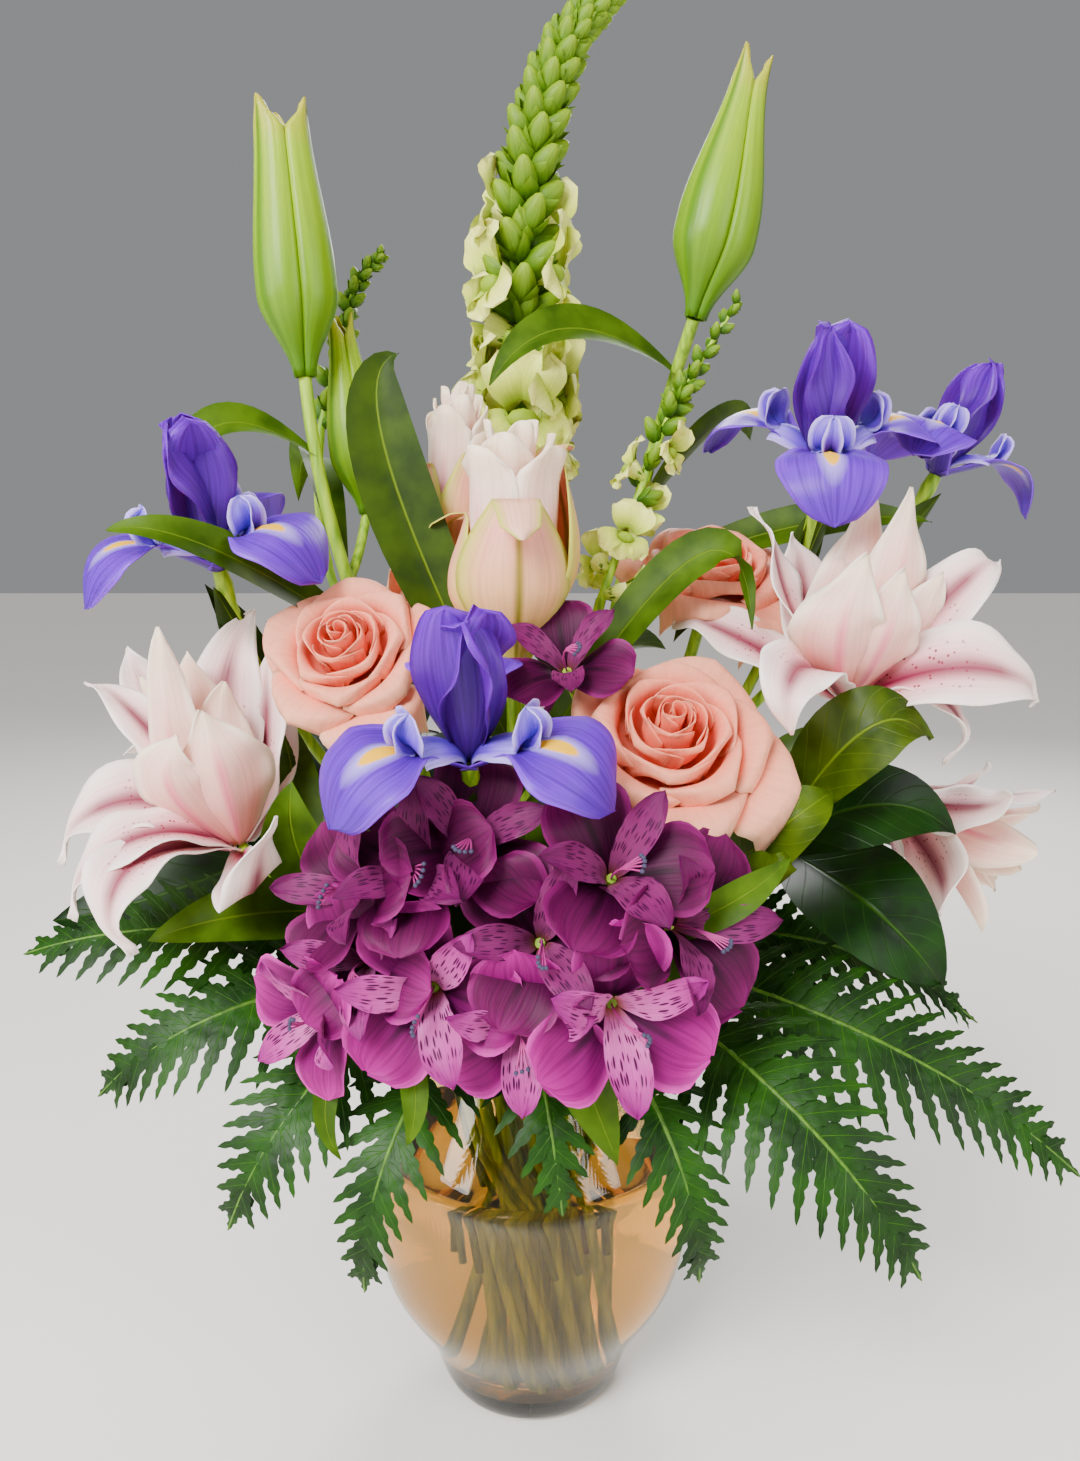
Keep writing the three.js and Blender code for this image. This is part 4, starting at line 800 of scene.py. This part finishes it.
def iris_bloom(bm, place, size, seed):
    """Three drooping falls with their style arms over them, and three standards between."""
    for k in range(3):
        turn = 120 * k + 5 * wobble(k, seed)
        sway = 0.06 * wobble(k + 4, seed)
        phase = 3 * wobble(k, seed + 2)

        def fall_relief(u, t, half):
            droop = -0.2 * half * u * u * smooth(t, 0.4, 0.3)
            channel = 0.5 * half * u * u * (1 - smooth(t, 0.3, 0.2))
            ridge = 0.9 * exp(-((u / 0.14) ** 2)) * smooth(t, 0.25, 0.1) * (1 - smooth(t, 0.5, 0.16))
            return (droop + channel + 1.4 * frill(u, t, 10, phase, 2) * smooth(t, 0.4, 0.3)) * size + ridge

        petal(bm, around(place, turn), 69 * size, 42 * size, fall_outline,
              lambda t: 38 - 112 * smooth(t, 0.3, 0.66), fall_relief, 2, sway, rows=24, cols=12)
        arm = around(place, turn, 5)
        tip = petal(bm, arm, 25 * size, 17 * size, lambda t: 0.5 + 0.5 * smooth(t, 0, 0.7), turning(70, -2),
                    cupped(-0.55), 1.5, sway, finish=1)
        for way in (-1, 1):
            petal(bm, around(arm @ Matrix.Translation(tip), -30 * way), 17 * size, 15 * size,
                  outline(0.5, 0.5), turning(10, 150, 0.9),
                  lambda u, t, half: -0.25 * half * u * u + 1.1 * frill(u, t, 9, 0, 3 * way, 1), -1,
                  rows=10, finish=1)
    for k in range(3):
        turn = 60 + 120 * k + 8 * wobble(k + 9, seed)
        lean = 5 * wobble(k + 2, seed)
        phase = 4 * wobble(k + 1, seed)

        def standard_relief(u, t, half):
            keel = 0.55 * half * abs(u) ** 1.4 * (1 - 0.5 * t)
            ruffle = 3.2 * frill(u, t, 11, phase, 3, 1.5) * smooth(t, 0.3, 0.5)
            return (keel + ruffle + 1.2 * sin(5 * u + phase) * smooth(t, 0.5, 0.5)) * size

        petal(bm, around(place, turn, 3), 60 * size, 31 * size, outline(0.6, 0.2, 0, 1.3, 0.42),
              lambda t: 62 + lean + 46 * sin(pi * t * 0.62), standard_relief, 2,
              0.1 * wobble(k, seed + 5), rows=20, cols=10, finish=2)


def iris_stem(bm, name):
    """A stem with two sheaths under the bloom and a thicker seat for it."""
    line = stem(bm, name, 2.6)
    for back, length, turn in ((52, 50, 40), (46, 44, 200)):
        share = max(0.3, 1 - back / length_of(line))
        petal(bm, standing(point_on(line, share), heading_on(line, share), turn), length, 15,
              outline(0.4, 0.5, 0, 1, 1.1), turning(88, 82), cupped(0.7), 2.2, rows=10, cols=6, finish=1)
    end, way = line[-1], heading_on(line, 1)
    rods(bm, [[(end - way * 14, 2.8), (end - way * 6, 3.6), (end, 2.8)]])


for seed, (name, (_, end, facing, size, roll)) in enumerate(IRISES.items()):
    build(f"{name}_petals", f"{name}_bloom", "iris_petals", [IRIS_FALL, IRIS_ARM, IRIS_STANDARD],
          iris_bloom, standing(end, facing, roll), size, seed, thickness=0.35)
    build(f"{name}_stalk", f"{name}_stem", "stem", [STEM, LILY_LEAF], iris_stem, name)


# --- Roses ---
def rose_bloom(bm, place, size, seed):
    """Petals in a tight spiral that opens outwards; the outer ones are rolled back to a point."""
    for i in range(ROSE_PETALS):
        o = i / (ROSE_PETALS - 1)
        belly = size * (0.05 + 0.68 * o)
        lip = size * (0.07 + 0.18 * o + 0.9 * o ** 1.6)
        top = size * (0.9 - 0.16 * o - 0.34 * o ** 2.2) * (1 + 0.03 * wobble(i, seed))
        width = 2.0 - 1.32 * o ** 0.55
        back = size * (0.03 + 0.26 * o)
        phase = 3 * wobble(i + 5, seed)

        def spread(t):
            return width * (0.5 + 0.5 * smooth(t, 0, 0.45)) * (1 - 0.34 * smooth(t, 0.72, 0.28))

        def radius(u, t):
            wall = belly * smooth(t, 0, 0.4) ** 0.75
            opened = smooth(t, 0.35, 0.65) ** 1.3 if lip > belly else t ** 2
            point = size * 0.19 * o * (max(1 - abs(u), 0) ** 1.3 - 0.35) * smooth(t, 0.6, 0.4)
            over = 0.03 * size * u * smooth(t, 0, 0.4)
            wave = 0.035 * size * o * sin(4 * u + phase) * t ** 2
            return max(wall + (lip - belly) * opened + point + over + wave, 0.35)

        def height(u, t):
            rise = top * sin(pi / 2 * min(t * 1.1, 1)) ** 0.85
            rolled = back * smooth(t, 0.8, 0.2) ** 1.6 * (0.5 + 0.9 * abs(u) ** 1.5)
            shoulder = size * (0.12 + 0.12 * o) * abs(u) ** 2.8 * t ** 2
            return rise - rolled - shoulder

        own = around(place, GOLDEN_TURN * i + 7 * wobble(i, seed + 3), 2)
        wrapped(bm, 16, 14, own, spread, radius, height, o)


def rose_stem(bm, name):
    """A stem with a green cup and five sepals under the bloom."""
    stem(bm, name, 2.7)
    place = standing(*STEMS[name][1:3])
    rods(bm, [[(place @ Vector((0, 0, z)), girth) for z, girth in ((-4, 2.8), (1, 5.5), (4, 4))]])
    for k in range(5):
        petal(bm, around(place, 72 * k + 9 * wobble(k, 1)), 25, 9, outline(0.25, 0.6, 0, 1, 1.2),
              turning(12, -48), cupped(0.25), 3, rows=8, cols=4, tone=0.7, finish=1)


for seed, (name, (_, end, _, size, roll, facing)) in enumerate(ROSES.items()):
    build(f"{name}_petals", f"{name}_bloom", "rose_petals", [ROSE],
          rose_bloom, standing(end, facing, roll), size, seed, thickness=0.4)
    build(f"{name}_stalk", f"{name}_stem", "stem", [STEM, LILY_LEAF], rose_stem, name)


# --- Lilies ---
def tepal_relief(ruffle, phase, fold, sharpness=1.3, opened=0.75, rolled=0):
    """A fold that opens to the tip, a groove down the middle, ruffled edges and a tip that rolls back."""
    def relief(u, t, half):
        crease = fold * half * abs(u) ** sharpness * (1 - opened * t)
        groove = 0.9 * exp(-((u / 0.1) ** 2)) * (1 - t)
        edge = ruffle * frill(u, t, 15, phase, 1.5) * smooth(t, 0, 0.3)
        return crease - groove - rolled * smooth(t, 0.76, 0.24) ** 2 + edge

    return relief


def small_lily(bm, place, size, curl, seed):
    """Six broad tepals, the lower ones recurved, round a tuft of folded inner ones."""
    for k in range(6):
        broad = k % 2
        turn = 60 * k + 5 * wobble(k, seed)
        bearing = radians(turn)
        lift = (place.to_3x3() @ Vector((-sin(bearing), cos(bearing), 0))).z
        length = (98 if broad else 104) * size * (1 + 0.04 * wobble(k + 3, seed))
        rise = (62 if broad else 54) + 4 * wobble(k + 1, seed)
        end = curl + (20 if broad else 0) + 80 * max(lift, 0) + 10 * wobble(k + 6, seed)
        petal(bm, around(place, turn, 4 * broad), length, (47 if broad else 35) * size,
              outline(0.5, 0.26, 0, 1, 0.8), turning(rise, end, 1.8),
              tepal_relief(2.2 * size, 4 * wobble(k + 2, seed), 0.34), 3, 0.08 * wobble(k + 8, seed),
              rows=26, cols=12)
    for k in range(10):
        ring = 0 if k < 4 else 1 if k < 7 else 2
        turn = (90 * k + 40, 120 * k + 10, 120 * k + 65)[ring] + 10 * wobble(k, seed + 1)
        length = (84 - 9 * ring) * size * (1 + 0.08 * wobble(k, seed + 4))
        phase = 5 * wobble(k, seed + 7)
        petal(bm, around(place, turn, 6 + 2 * ring), length, (34 - 4 * ring) * size,
              outline(0.55, 0.3, 0, 1, 0.62),
              turning(72 + 6 * ring, 58 + 16 * ring + 12 * wobble(k, seed + 2), 1.2),
              lambda u, t, half: 0.6 * half * abs(u) ** 1.3
              + 1.4 * size * frill(u, t, 13, phase, 1) * smooth(t, 0, 0.4),
              2.5, 0.06 * wobble(k, seed + 6), rows=18, finish=1)


def big_lily(bm, hub, outer, inner):
    """Tepals that each go from the hub through their own middle to their tip, which rolls back."""
    for finish, (poses, taper, fold, rolled) in enumerate(((outer, 1, 0.32, 8), (inner, 0.92, 0.7, 3))):
        for k, (middle, tip, width, facing) in enumerate(poses):
            way = (Vector(middle) - hub).normalized()
            relief = tepal_relief(2, 4 * wobble(width, k), fold, 1.4, 0.6, rolled)
            leaf(bm, bowed(hub + way * 3, middle, tip, 26), width, outline(0.46, 0.3, 0.04, 0.9, taper),
                 facing, 12, relief, finish=finish)


def lily_opening(bm, place, length, width, seed):
    """Outer tepals still held as a barrel, curled at their tips, with ruffled inner ones above them."""
    reach = width / 2
    tapered = outline(0.46, 1, 0.03, 1, 0.85)
    rounded = outline(0.8, 0.7, 0.62, 1, 0.5)
    # Each outer tepal: share of the height that it reaches, how far its tip curls out and hangs down.
    for k, (tall, curled, hang) in enumerate(((0.78, 0.9, 0.2), (1, 0.35, 0.05), (0.72, 0.8, 0.12))):
        def radius(u, t):
            barrel = reach * (0.2 + 0.8 * smooth(t, 0, 0.46) ** 0.8) * (1 - 0.24 * smooth(t, 0.5, 0.4))
            keel = 0.08 * reach * cos(pi * u) * (1 - 0.6 * t)
            tip = curled * reach * smooth(t, 0.84, 0.16) ** 1.6
            return barrel + keel + tip + 0.04 * reach * u

        def height(u, t):
            return length * (min(t, 0.94) * tall - hang * smooth(t, 0.86, 0.14) ** 1.4)

        wrapped(bm, 26, 14, around(place, 186 + 120 * k),
                lambda t: radians(67) * (1 if t < 0.46 else tapered(t)), radius, height)
    for k in range(9):
        ring = k % 3
        out = reach * (0.66, 0.5, 0.3)[ring]
        tall = length * (0.92 + 0.05 * ring + 0.03 * wobble(k, seed + 2))

        def inner_radius(u, t):
            ruffle = 0.05 * reach * sin(5 * u + 5 * t + k) * smooth(t, 0.5, 0.5)
            return out * (0.3 + 0.7 * smooth(t, 0, 0.5)) + 0.1 * reach * smooth(t, 0.85, 0.15) + ruffle

        wrapped(bm, 20, 12, around(place, 40 * k + 10 * wobble(k, seed)), lambda t: 1.05 * rounded(t),
                inner_radius, lambda u, t: tall * t - 6.0 * abs(u) ** 2.4 * t ** 4, finish=1)


def lily_bud(bm, place, length, reach, mouth, seed):
    """Three keeled tepals, shut but for a notch between their tips; `mouth` is the share of width there."""
    def radius(u, t):
        swell = (0.24 + 0.76 * smooth(t, 0, 0.3)) * (1 - (1 - mouth) * smooth(t, 0.35, 0.6))
        keel = 0.07 * cos(pi * u) * (1 - 0.4 * t)
        groove = -0.07 * (exp(-((abs(u) - 0.2) / 0.07) ** 2) + 1.4 * smooth(abs(u), 0.8, 0.2))
        return max(reach * (swell + keel + groove * (1 - 0.5 * t) + 0.02 * u), 0.4)

    for k in range(3):
        def height(u, t):
            notch = 0.03 * length * abs(u) ** 2 * smooth(t, 0.8, 0.2)
            return length * t * (1 + 0.025 * wobble(k, seed)) - notch

        wrapped(bm, 28, 14, around(place, 20 + 120 * k),
                lambda t: radians(61) * (1 - 0.8 * smooth(t, 0.88, 0.12)), radius, height)


def strap_relief(u, t, half):
    """A shallow gutter along a strap leaf, with a slow wave at its edges."""
    return 0.28 * half * abs(u) ** 1.5 + 0.8 * u * sin(7 * t)


def lily_stem(bm, name):
    """A stem with its side shoots and strap leaves."""
    line = stem(bm, name, 3.4, 0.6)
    forks, leaves = LILY_STEMS[name][3:]
    for share, to in forks:
        start = point_on(line, share)
        way = Vector(to) - start
        rods(bm, [[(p, 2.3) for p in bowed(start, start + way * 0.5 - UP * 0.12 * way.length, to, 8)]])
    for share, middle, tip, width, facing in leaves:
        # The broad leaf gets a low tone as painted shade; the others vary a little at random.
        tone = SHADED_LEAF_TONE if width == BROAD_LEAF else 0.8 + 0.2 * wobble(width, share)
        leaf(bm, bowed(point_on(line, share), middle, tip, 18), width, outline(0.42, 0.3, 0, 1, 0.9), facing,
             8, strap_relief, tone)


for name, (hub, *tepals) in BIG_LILIES.items():
    build(f"{name}_tepals", name, "lily_petals", [LILY_OUTER, LILY_INNER],
          big_lily, Vector(hub), *tepals, thickness=0.45)
for name, (at, facing, roll, size, curl, seed) in SMALL_LILIES.items():
    build(f"{name}_tepals", name, "lily_petals", [LILY_OUTER, LILY_INNER],
          small_lily, standing(at, facing, roll), size, curl, seed, thickness=0.45)
for seed, (name, (at, facing, roll, length, width)) in enumerate(LILY_HALF_OPEN.items()):
    build(f"{name}_tepals", name, "lily_petals", [LILY_HALF, LILY_INNER],
          lily_opening, standing(at, facing, roll), length, width, seed, thickness=0.45)
for seed, (name, (at, facing, length, reach, mouth)) in enumerate(LILY_BUDS.items()):
    build(f"{name}_skin", name, "lily_bud", [LILY_BUD],
          lily_bud, standing(at, facing), length, reach, mouth, seed, thickness=0.5)
for name in LILY_STEMS:
    build(f"{name}_leafy_stem", f"{name}_stem", "lily_leaf", [STEM, LILY_LEAF], lily_stem, name)


# --- Snapdragons ---
def sepals(bm, place, length, count, seed):
    """Green leaflets that hold a bud or floret from below."""
    for k in range(count):
        petal(bm, around(place, 360 / count * k + 30 * wobble(k, seed)), length, 0.64 * length,
              outline(0.35, 0.6, 0, 1, 1), turning(52, 92), cupped(0.5), 0.15 * length,
              rows=5, cols=3, tone=0.2, finish=1)


def knob(bm, put, tone, finish, mapped):
    """A ball of radius 1, bent into shape by put(x, y, z)."""
    verts = bmesh.ops.create_uvsphere(bm, u_segments=8, v_segments=6, radius=1, calc_uvs=mapped)["verts"]
    for vert in verts:
        vert.co = put(*vert.co)
    paint(bm, verts, tone, finish)


def snap_floret(bm, place, size, seed):
    """A short tube that opens into an upper lip of two lobes and a lower lip of three, round a palate."""
    tube = 13 * size
    wrapped(bm, 4, 10, place, lambda t: pi, lambda u, t: size * (3.2 + 3.0 * smooth(t)),
            lambda u, t: tube * t)
    # Each lobe: turn, length, width, and its pitch at the root and at the tip.
    lobes = ((-27, 17, 18, 66, 0), (27, 17, 18, 66, 0), (180, 13, 14, 30, -70), (128, 14, 15, 34, -60),
             (232, 14, 15, 34, -60))
    for k, (turn, length, width, rise, curl) in enumerate(lobes):
        phase = 4 * wobble(k, seed + 3)
        petal(bm, around(place, turn, tube * 0.9), length * size, width * size, outline(0.6, 0.5, 0, 1, 0.42),
              turning(rise + 8 * wobble(k, seed), curl + 16 * wobble(k + 2, seed)),
              lambda u, t, half: 0.2 * half * u * u + 2.1 * size * frill(u, t, 9, phase, 5, 1) * t,
              4.4 * size, rows=9)
    sepals(bm, place, 11 * size, 4, seed)
    knob(bm, lambda x, y, z: place @ Vector((5.4 * size * x, size * (3.4 * y - 3), tube + 3 * size * z)),
         0, 0, False)


def snap_bud(bm, place, length, seed):
    """A plump pointed bud held by leafy sepals."""
    def put(x, y, z):
        t = (z + 1) / 2
        girth = 0.34 * length * (1 - 0.45 * t)
        return place @ Vector((girth * x, girth * y, length * (0.08 + 0.92 * t)))

    knob(bm, put, 1, 1, True)
    sepals(bm, place, 0.78 * length, 3, seed)


def snapdragon(bm, name):
    """A spike that tapers upwards, with florets low on it and buds above."""
    line_above, florets, buds, open_to, size = SNAPDRAGONS[name][3:]
    spike = eased([stem(bm, name, 2.2, finish=2)[-1], *line_above], 8)
    rods(bm, [[(p, 2.0 - 1.2 * i / len(spike)) for i, p in enumerate(spike)]], finish=2)

    def grow(k, t, pitch):
        along = heading_on(spike, t)
        side = Vector((1, 0, 0))
        out = (side - along * along.dot(side)).normalized()
        out = Matrix.Rotation(radians(GOLDEN_TURN * k), 3, along) @ out
        facing = out * cos(radians(pitch)) + along * sin(radians(pitch))
        place = standing(point_on(spike, t), facing)
        top = place.to_3x3().inverted() @ along
        return place @ Matrix.Rotation(atan2(-top.x, top.y), 4, "Z")

    for k in range(florets):
        t = open_to * (k + 0.3) / florets
        place = grow(k, t, 22)
        ahead = -(place.to_3x3() @ UP).y
        if florets > 9 and t > 0.4 * open_to and ahead > 0.5:
            snap_bud(bm, grow(k, t, 50), 14 * size, k)
        else:
            snap_floret(bm, place, size * (1 - 0.2 * k / florets), k)
    for k in range(buds):
        share = (k + 0.5) / buds
        t = 0.55 * open_to + (0.99 - 0.55 * open_to) * share
        snap_bud(bm, grow(k, t, 40 + 18 * share), (17 - 9 * share ** 1.2) * size, k)


for name in SNAPDRAGONS:
    build(f"{name}_spike", name, "snapdragon", [SNAP_PETAL, SNAP_GREEN, STEM], snapdragon, name)


# --- Alstroemeria ---
def alstroemeria_bloom(bm, place, size, open_by, tone, seed):
    """Three broad outer tepals, three narrow dashed inner ones, and arching stamens."""
    for k in range(6):
        inner = k % 2
        length, width = (37, 14 if k == 3 else 12) if inner else (35, 31)
        shape = outline(0.62, 0.2, 0, 1, 0.65) if inner else outline(0.7, 0.12, 0.08, 1.2, 0.42)
        pitch = turning(74, 12 + open_by) if inner else turning(66, open_by - 4, 0.8)
        hollow = 0.25 if inner else 0.1
        phase = 4 * wobble(k, seed + 1)
        own = around(place, 60 * k + 5 * wobble(k, seed), inner)
        petal(bm, own, length * size, width * size, shape, pitch,
              lambda u, t, half: hollow * half * u * u + 1.6 * size * frill(u, t, 11, phase, 4, 1.5) * t,
              1.2 if inner else 1.6, rows=14, cols=10, tone=tone, finish=inner)
    threads = []
    root, middle = place @ Vector((0, 0, 2)), place @ Vector((0, -1, 16))
    for k in range(5):
        tip = place @ Vector((6 * wobble(k, seed), -5 + 4 * wobble(k + 3, seed), 25 * size))
        threads.append([(p, 0.35) for p in bowed(root, middle, tip, 6)])
        anther = bmesh.ops.create_icosphere(bm, subdivisions=1, radius=0.9, matrix=Matrix.Translation(tip))
        paint(bm, anther["verts"], 0, 4)
    rods(bm, threads, 0, 3)


def umbel(bm, name):
    """A stem that forks to its blooms, with leaves at the fork."""
    fork = stem(bm, name, 2.1, finish=2)[-1]
    blooms, leaves = ALSTROEMERIAS[name][3:]
    for k, (at, facing, size, roll) in enumerate(blooms):
        way = Vector(facing).normalized()
        base = Vector(at) - way * 22
        rods(bm, [[(p, 1.3) for p in bowed(fork, fork.lerp(base, 0.5) - UP * 2, base, 6)]], finish=2)
        rods(bm, [[(base - way * 5, 1.4), (base - way * 1, 2.6), (base + way * 3, 1.8)]], finish=2)
        paler = smooth((PALE_BELOW - at[2]) / 34)
        alstroemeria_bloom(bm, standing(base, facing, roll), size, 10 * wobble(roll, 2), paler, roll + k)
    for middle, tip, width in leaves:
        leaf(bm, bowed(fork, middle, tip, 14), width, outline(0.55, 0.25, 0, 1, 0.9), TO_FRONT, 6,
             strap_relief, 1, 5)


for name in ALSTROEMERIAS:
    build(f"{name}_umbel", name, "alstroemeria",
          [ALSTRO_OUTER, ALSTRO_INNER, STEM, STAMEN, ANTHER, LILY_LEAF], umbel, name)


# --- Salal and fern ---
def salal_spray(bm, name):
    """A twig with broad leaves, wavy at their edges."""
    line = stem(bm, name, 1.9, 0.6, 1)
    for k, (share, middle, tip, width, facing) in enumerate(SALALS[name][3]):
        def relief(u, t, half):
            wave = 1.4 * u * u * sin(8 * t + k) * smooth(t, 0, 0.2)
            return 0.22 * half * abs(u) + wave + 0.8 * u * sin(5 * t + k)

        leaf(bm, bowed(point_on(line, share), middle, tip, 18), width, outline(0.42, 0.06, 0, 0.8, 0.9),
             facing, 10, relief, 0.7 + 0.3 * wobble(k, width), 2 if (name, k) in YOUNG_LEAVES else 1)


for name in SALALS:
    build(f"{name}_spray", name, "salal", [TWIG, SALAL, YOUNG_SALAL], salal_spray, name)


def cut_leaf(bm, line, face, width, lobes, tone):
    """A lance-shaped leaflet with rounded teeth that point to its tip, deeper near its root."""
    rows = 3 * lobes
    bite = (0, 0.9, 1)  # share of the width at the gap, the back and the point of a tooth

    def put(u, t):
        step = round(t * rows) % 3
        depth = 0.04 + 0.3 * smooth(t, 0.15, 0.3)
        half = width / 2 * min(1, 0.9 + t) * (1 - t) ** 0.75 * (1 - depth * (1 - bite[step]))
        along = heading_on(line, min(t, 0.99))
        at = point_on(line, t) + along.cross(face).normalized() * (u * half) + along * (0.5 * half * abs(u))
        return at + face * (-0.16 * half * u * u + 0.5 * abs(u) * (step == 1))

    sheet(bm, rows, 2, put, tone, 1)


def fern_frond(bm, name):
    """A frond cut twice: leaflets along both sides of the rib, each toothed along its edges."""
    tip, half, arch, looks = FERNS[name][3:]
    looks = Vector(looks)
    root = stem(bm, name, 1.5, fineness=1)[-1]
    rib = bowed(root, root.lerp(Vector(tip), 0.5) + looks.normalized() * arch, tip, 30)
    rods(bm, [[(p, 1.3 - 0.9 * i / 30) for i, p in enumerate(rib)]], 1)
    across = (rib[-1] - rib[0]).cross(looks).normalized()
    count = 2 * round(length_of(rib) / PINNA_STEP)
    for k in range(count):
        way = 1 if k % 2 else -1
        t = (k + 0.5) / count * 0.93
        reach = half * min(1, 0.5 + 2.4 * t) * (1 - t) ** 0.75 + 4
        at = point_on(rib, t)
        along = heading_on(rib, t)
        side = (across - along * across.dot(along)).normalized() * way
        face = (side * way).cross(along).normalized()
        lean = radians(62 - 18 * t + 4 * wobble(k, half))
        outward = side * sin(lean) + along * cos(lean)
        end = at + outward * reach + face * (0.06 * reach * wobble(k + 5, half)) - UP * 0.1 * reach
        start = at - outward * 2.5
        pinna = bowed(start, start.lerp(end, 0.5) + face * 0.07 * reach - along * 0.03 * reach, end, 8)
        lobes = max(3, round(reach / LOBE_STEP))
        cut_leaf(bm, pinna, face, 0.14 * reach + 7, lobes, 0.62 + 0.38 * wobble(k, 3))
    face = across.cross(heading_on(rib, 0.95)).normalized()
    cut_leaf(bm, [point_on(rib, 0.84 + 0.02 * i) for i in range(9)], face, 12, 5, 0.8)


for name in FERNS:
    build(f"{name}_frond", name, "fern", [FERN_STALK, FERN_LEAF], fern_frond, name)


# --- Studio ---
floor_bm = bmesh.new()
bmesh.ops.create_grid(floor_bm, x_segments=1, y_segments=1, size=FLOOR_SIZE / 2)
floor_mesh = bpy.data.meshes.new("floor")
floor_bm.to_mesh(floor_mesh)
floor_bm.free()
floor_mesh.materials.append(FLOOR)
in_scene("floor", floor_mesh)

world = bpy.data.worlds.new("studio")
world.use_nodes = True
background = world.node_tree.nodes["Background"]
background.inputs["Color"].default_value = colour("#E6E8EA")
background.inputs["Strength"].default_value = 0.34
bpy.context.scene.world = world


def light(name, kind, at, target, power, **spread):
    """A lamp that looks from `at` to `target`; spread is the size of an area or the angle of a sun."""
    lamp = bpy.data.lights.new(name, kind)
    lamp.energy = power
    for key, value in spread.items():
        setattr(lamp, key, value)
    in_scene(name, lamp, at, (Vector(target) - Vector(at)).to_track_quat("-Z", "Y").to_euler())


light("key", "AREA", (-0.7, -1.4, 1.3), (0, 0, 0.3), 58, size=0.7)
light("fill", "AREA", (1.3, -1.1, 0.8), (0, 0, 0.3), 18, size=1)
light("window", "AREA", (-1.3, -0.9, 0.7), (0, 0, 0.1), 16, size=0.7)
light("back", "AREA", (0.3, 1.4, 1.3), (0, 0, 0.35), 28, size=0.8)
light("sky", "SUN", (0, 0, 0), (0.25, 0.45, -1), 1.3, angle=radians(60))

camera = bpy.data.cameras.new("camera")
camera.sensor_width = 36
camera.lens = 36 * FOCAL_SHARE
bpy.context.scene.camera = in_scene("camera", camera, CAMERA_AT, (radians(90 - CAMERA_DOWN), 0, 0))
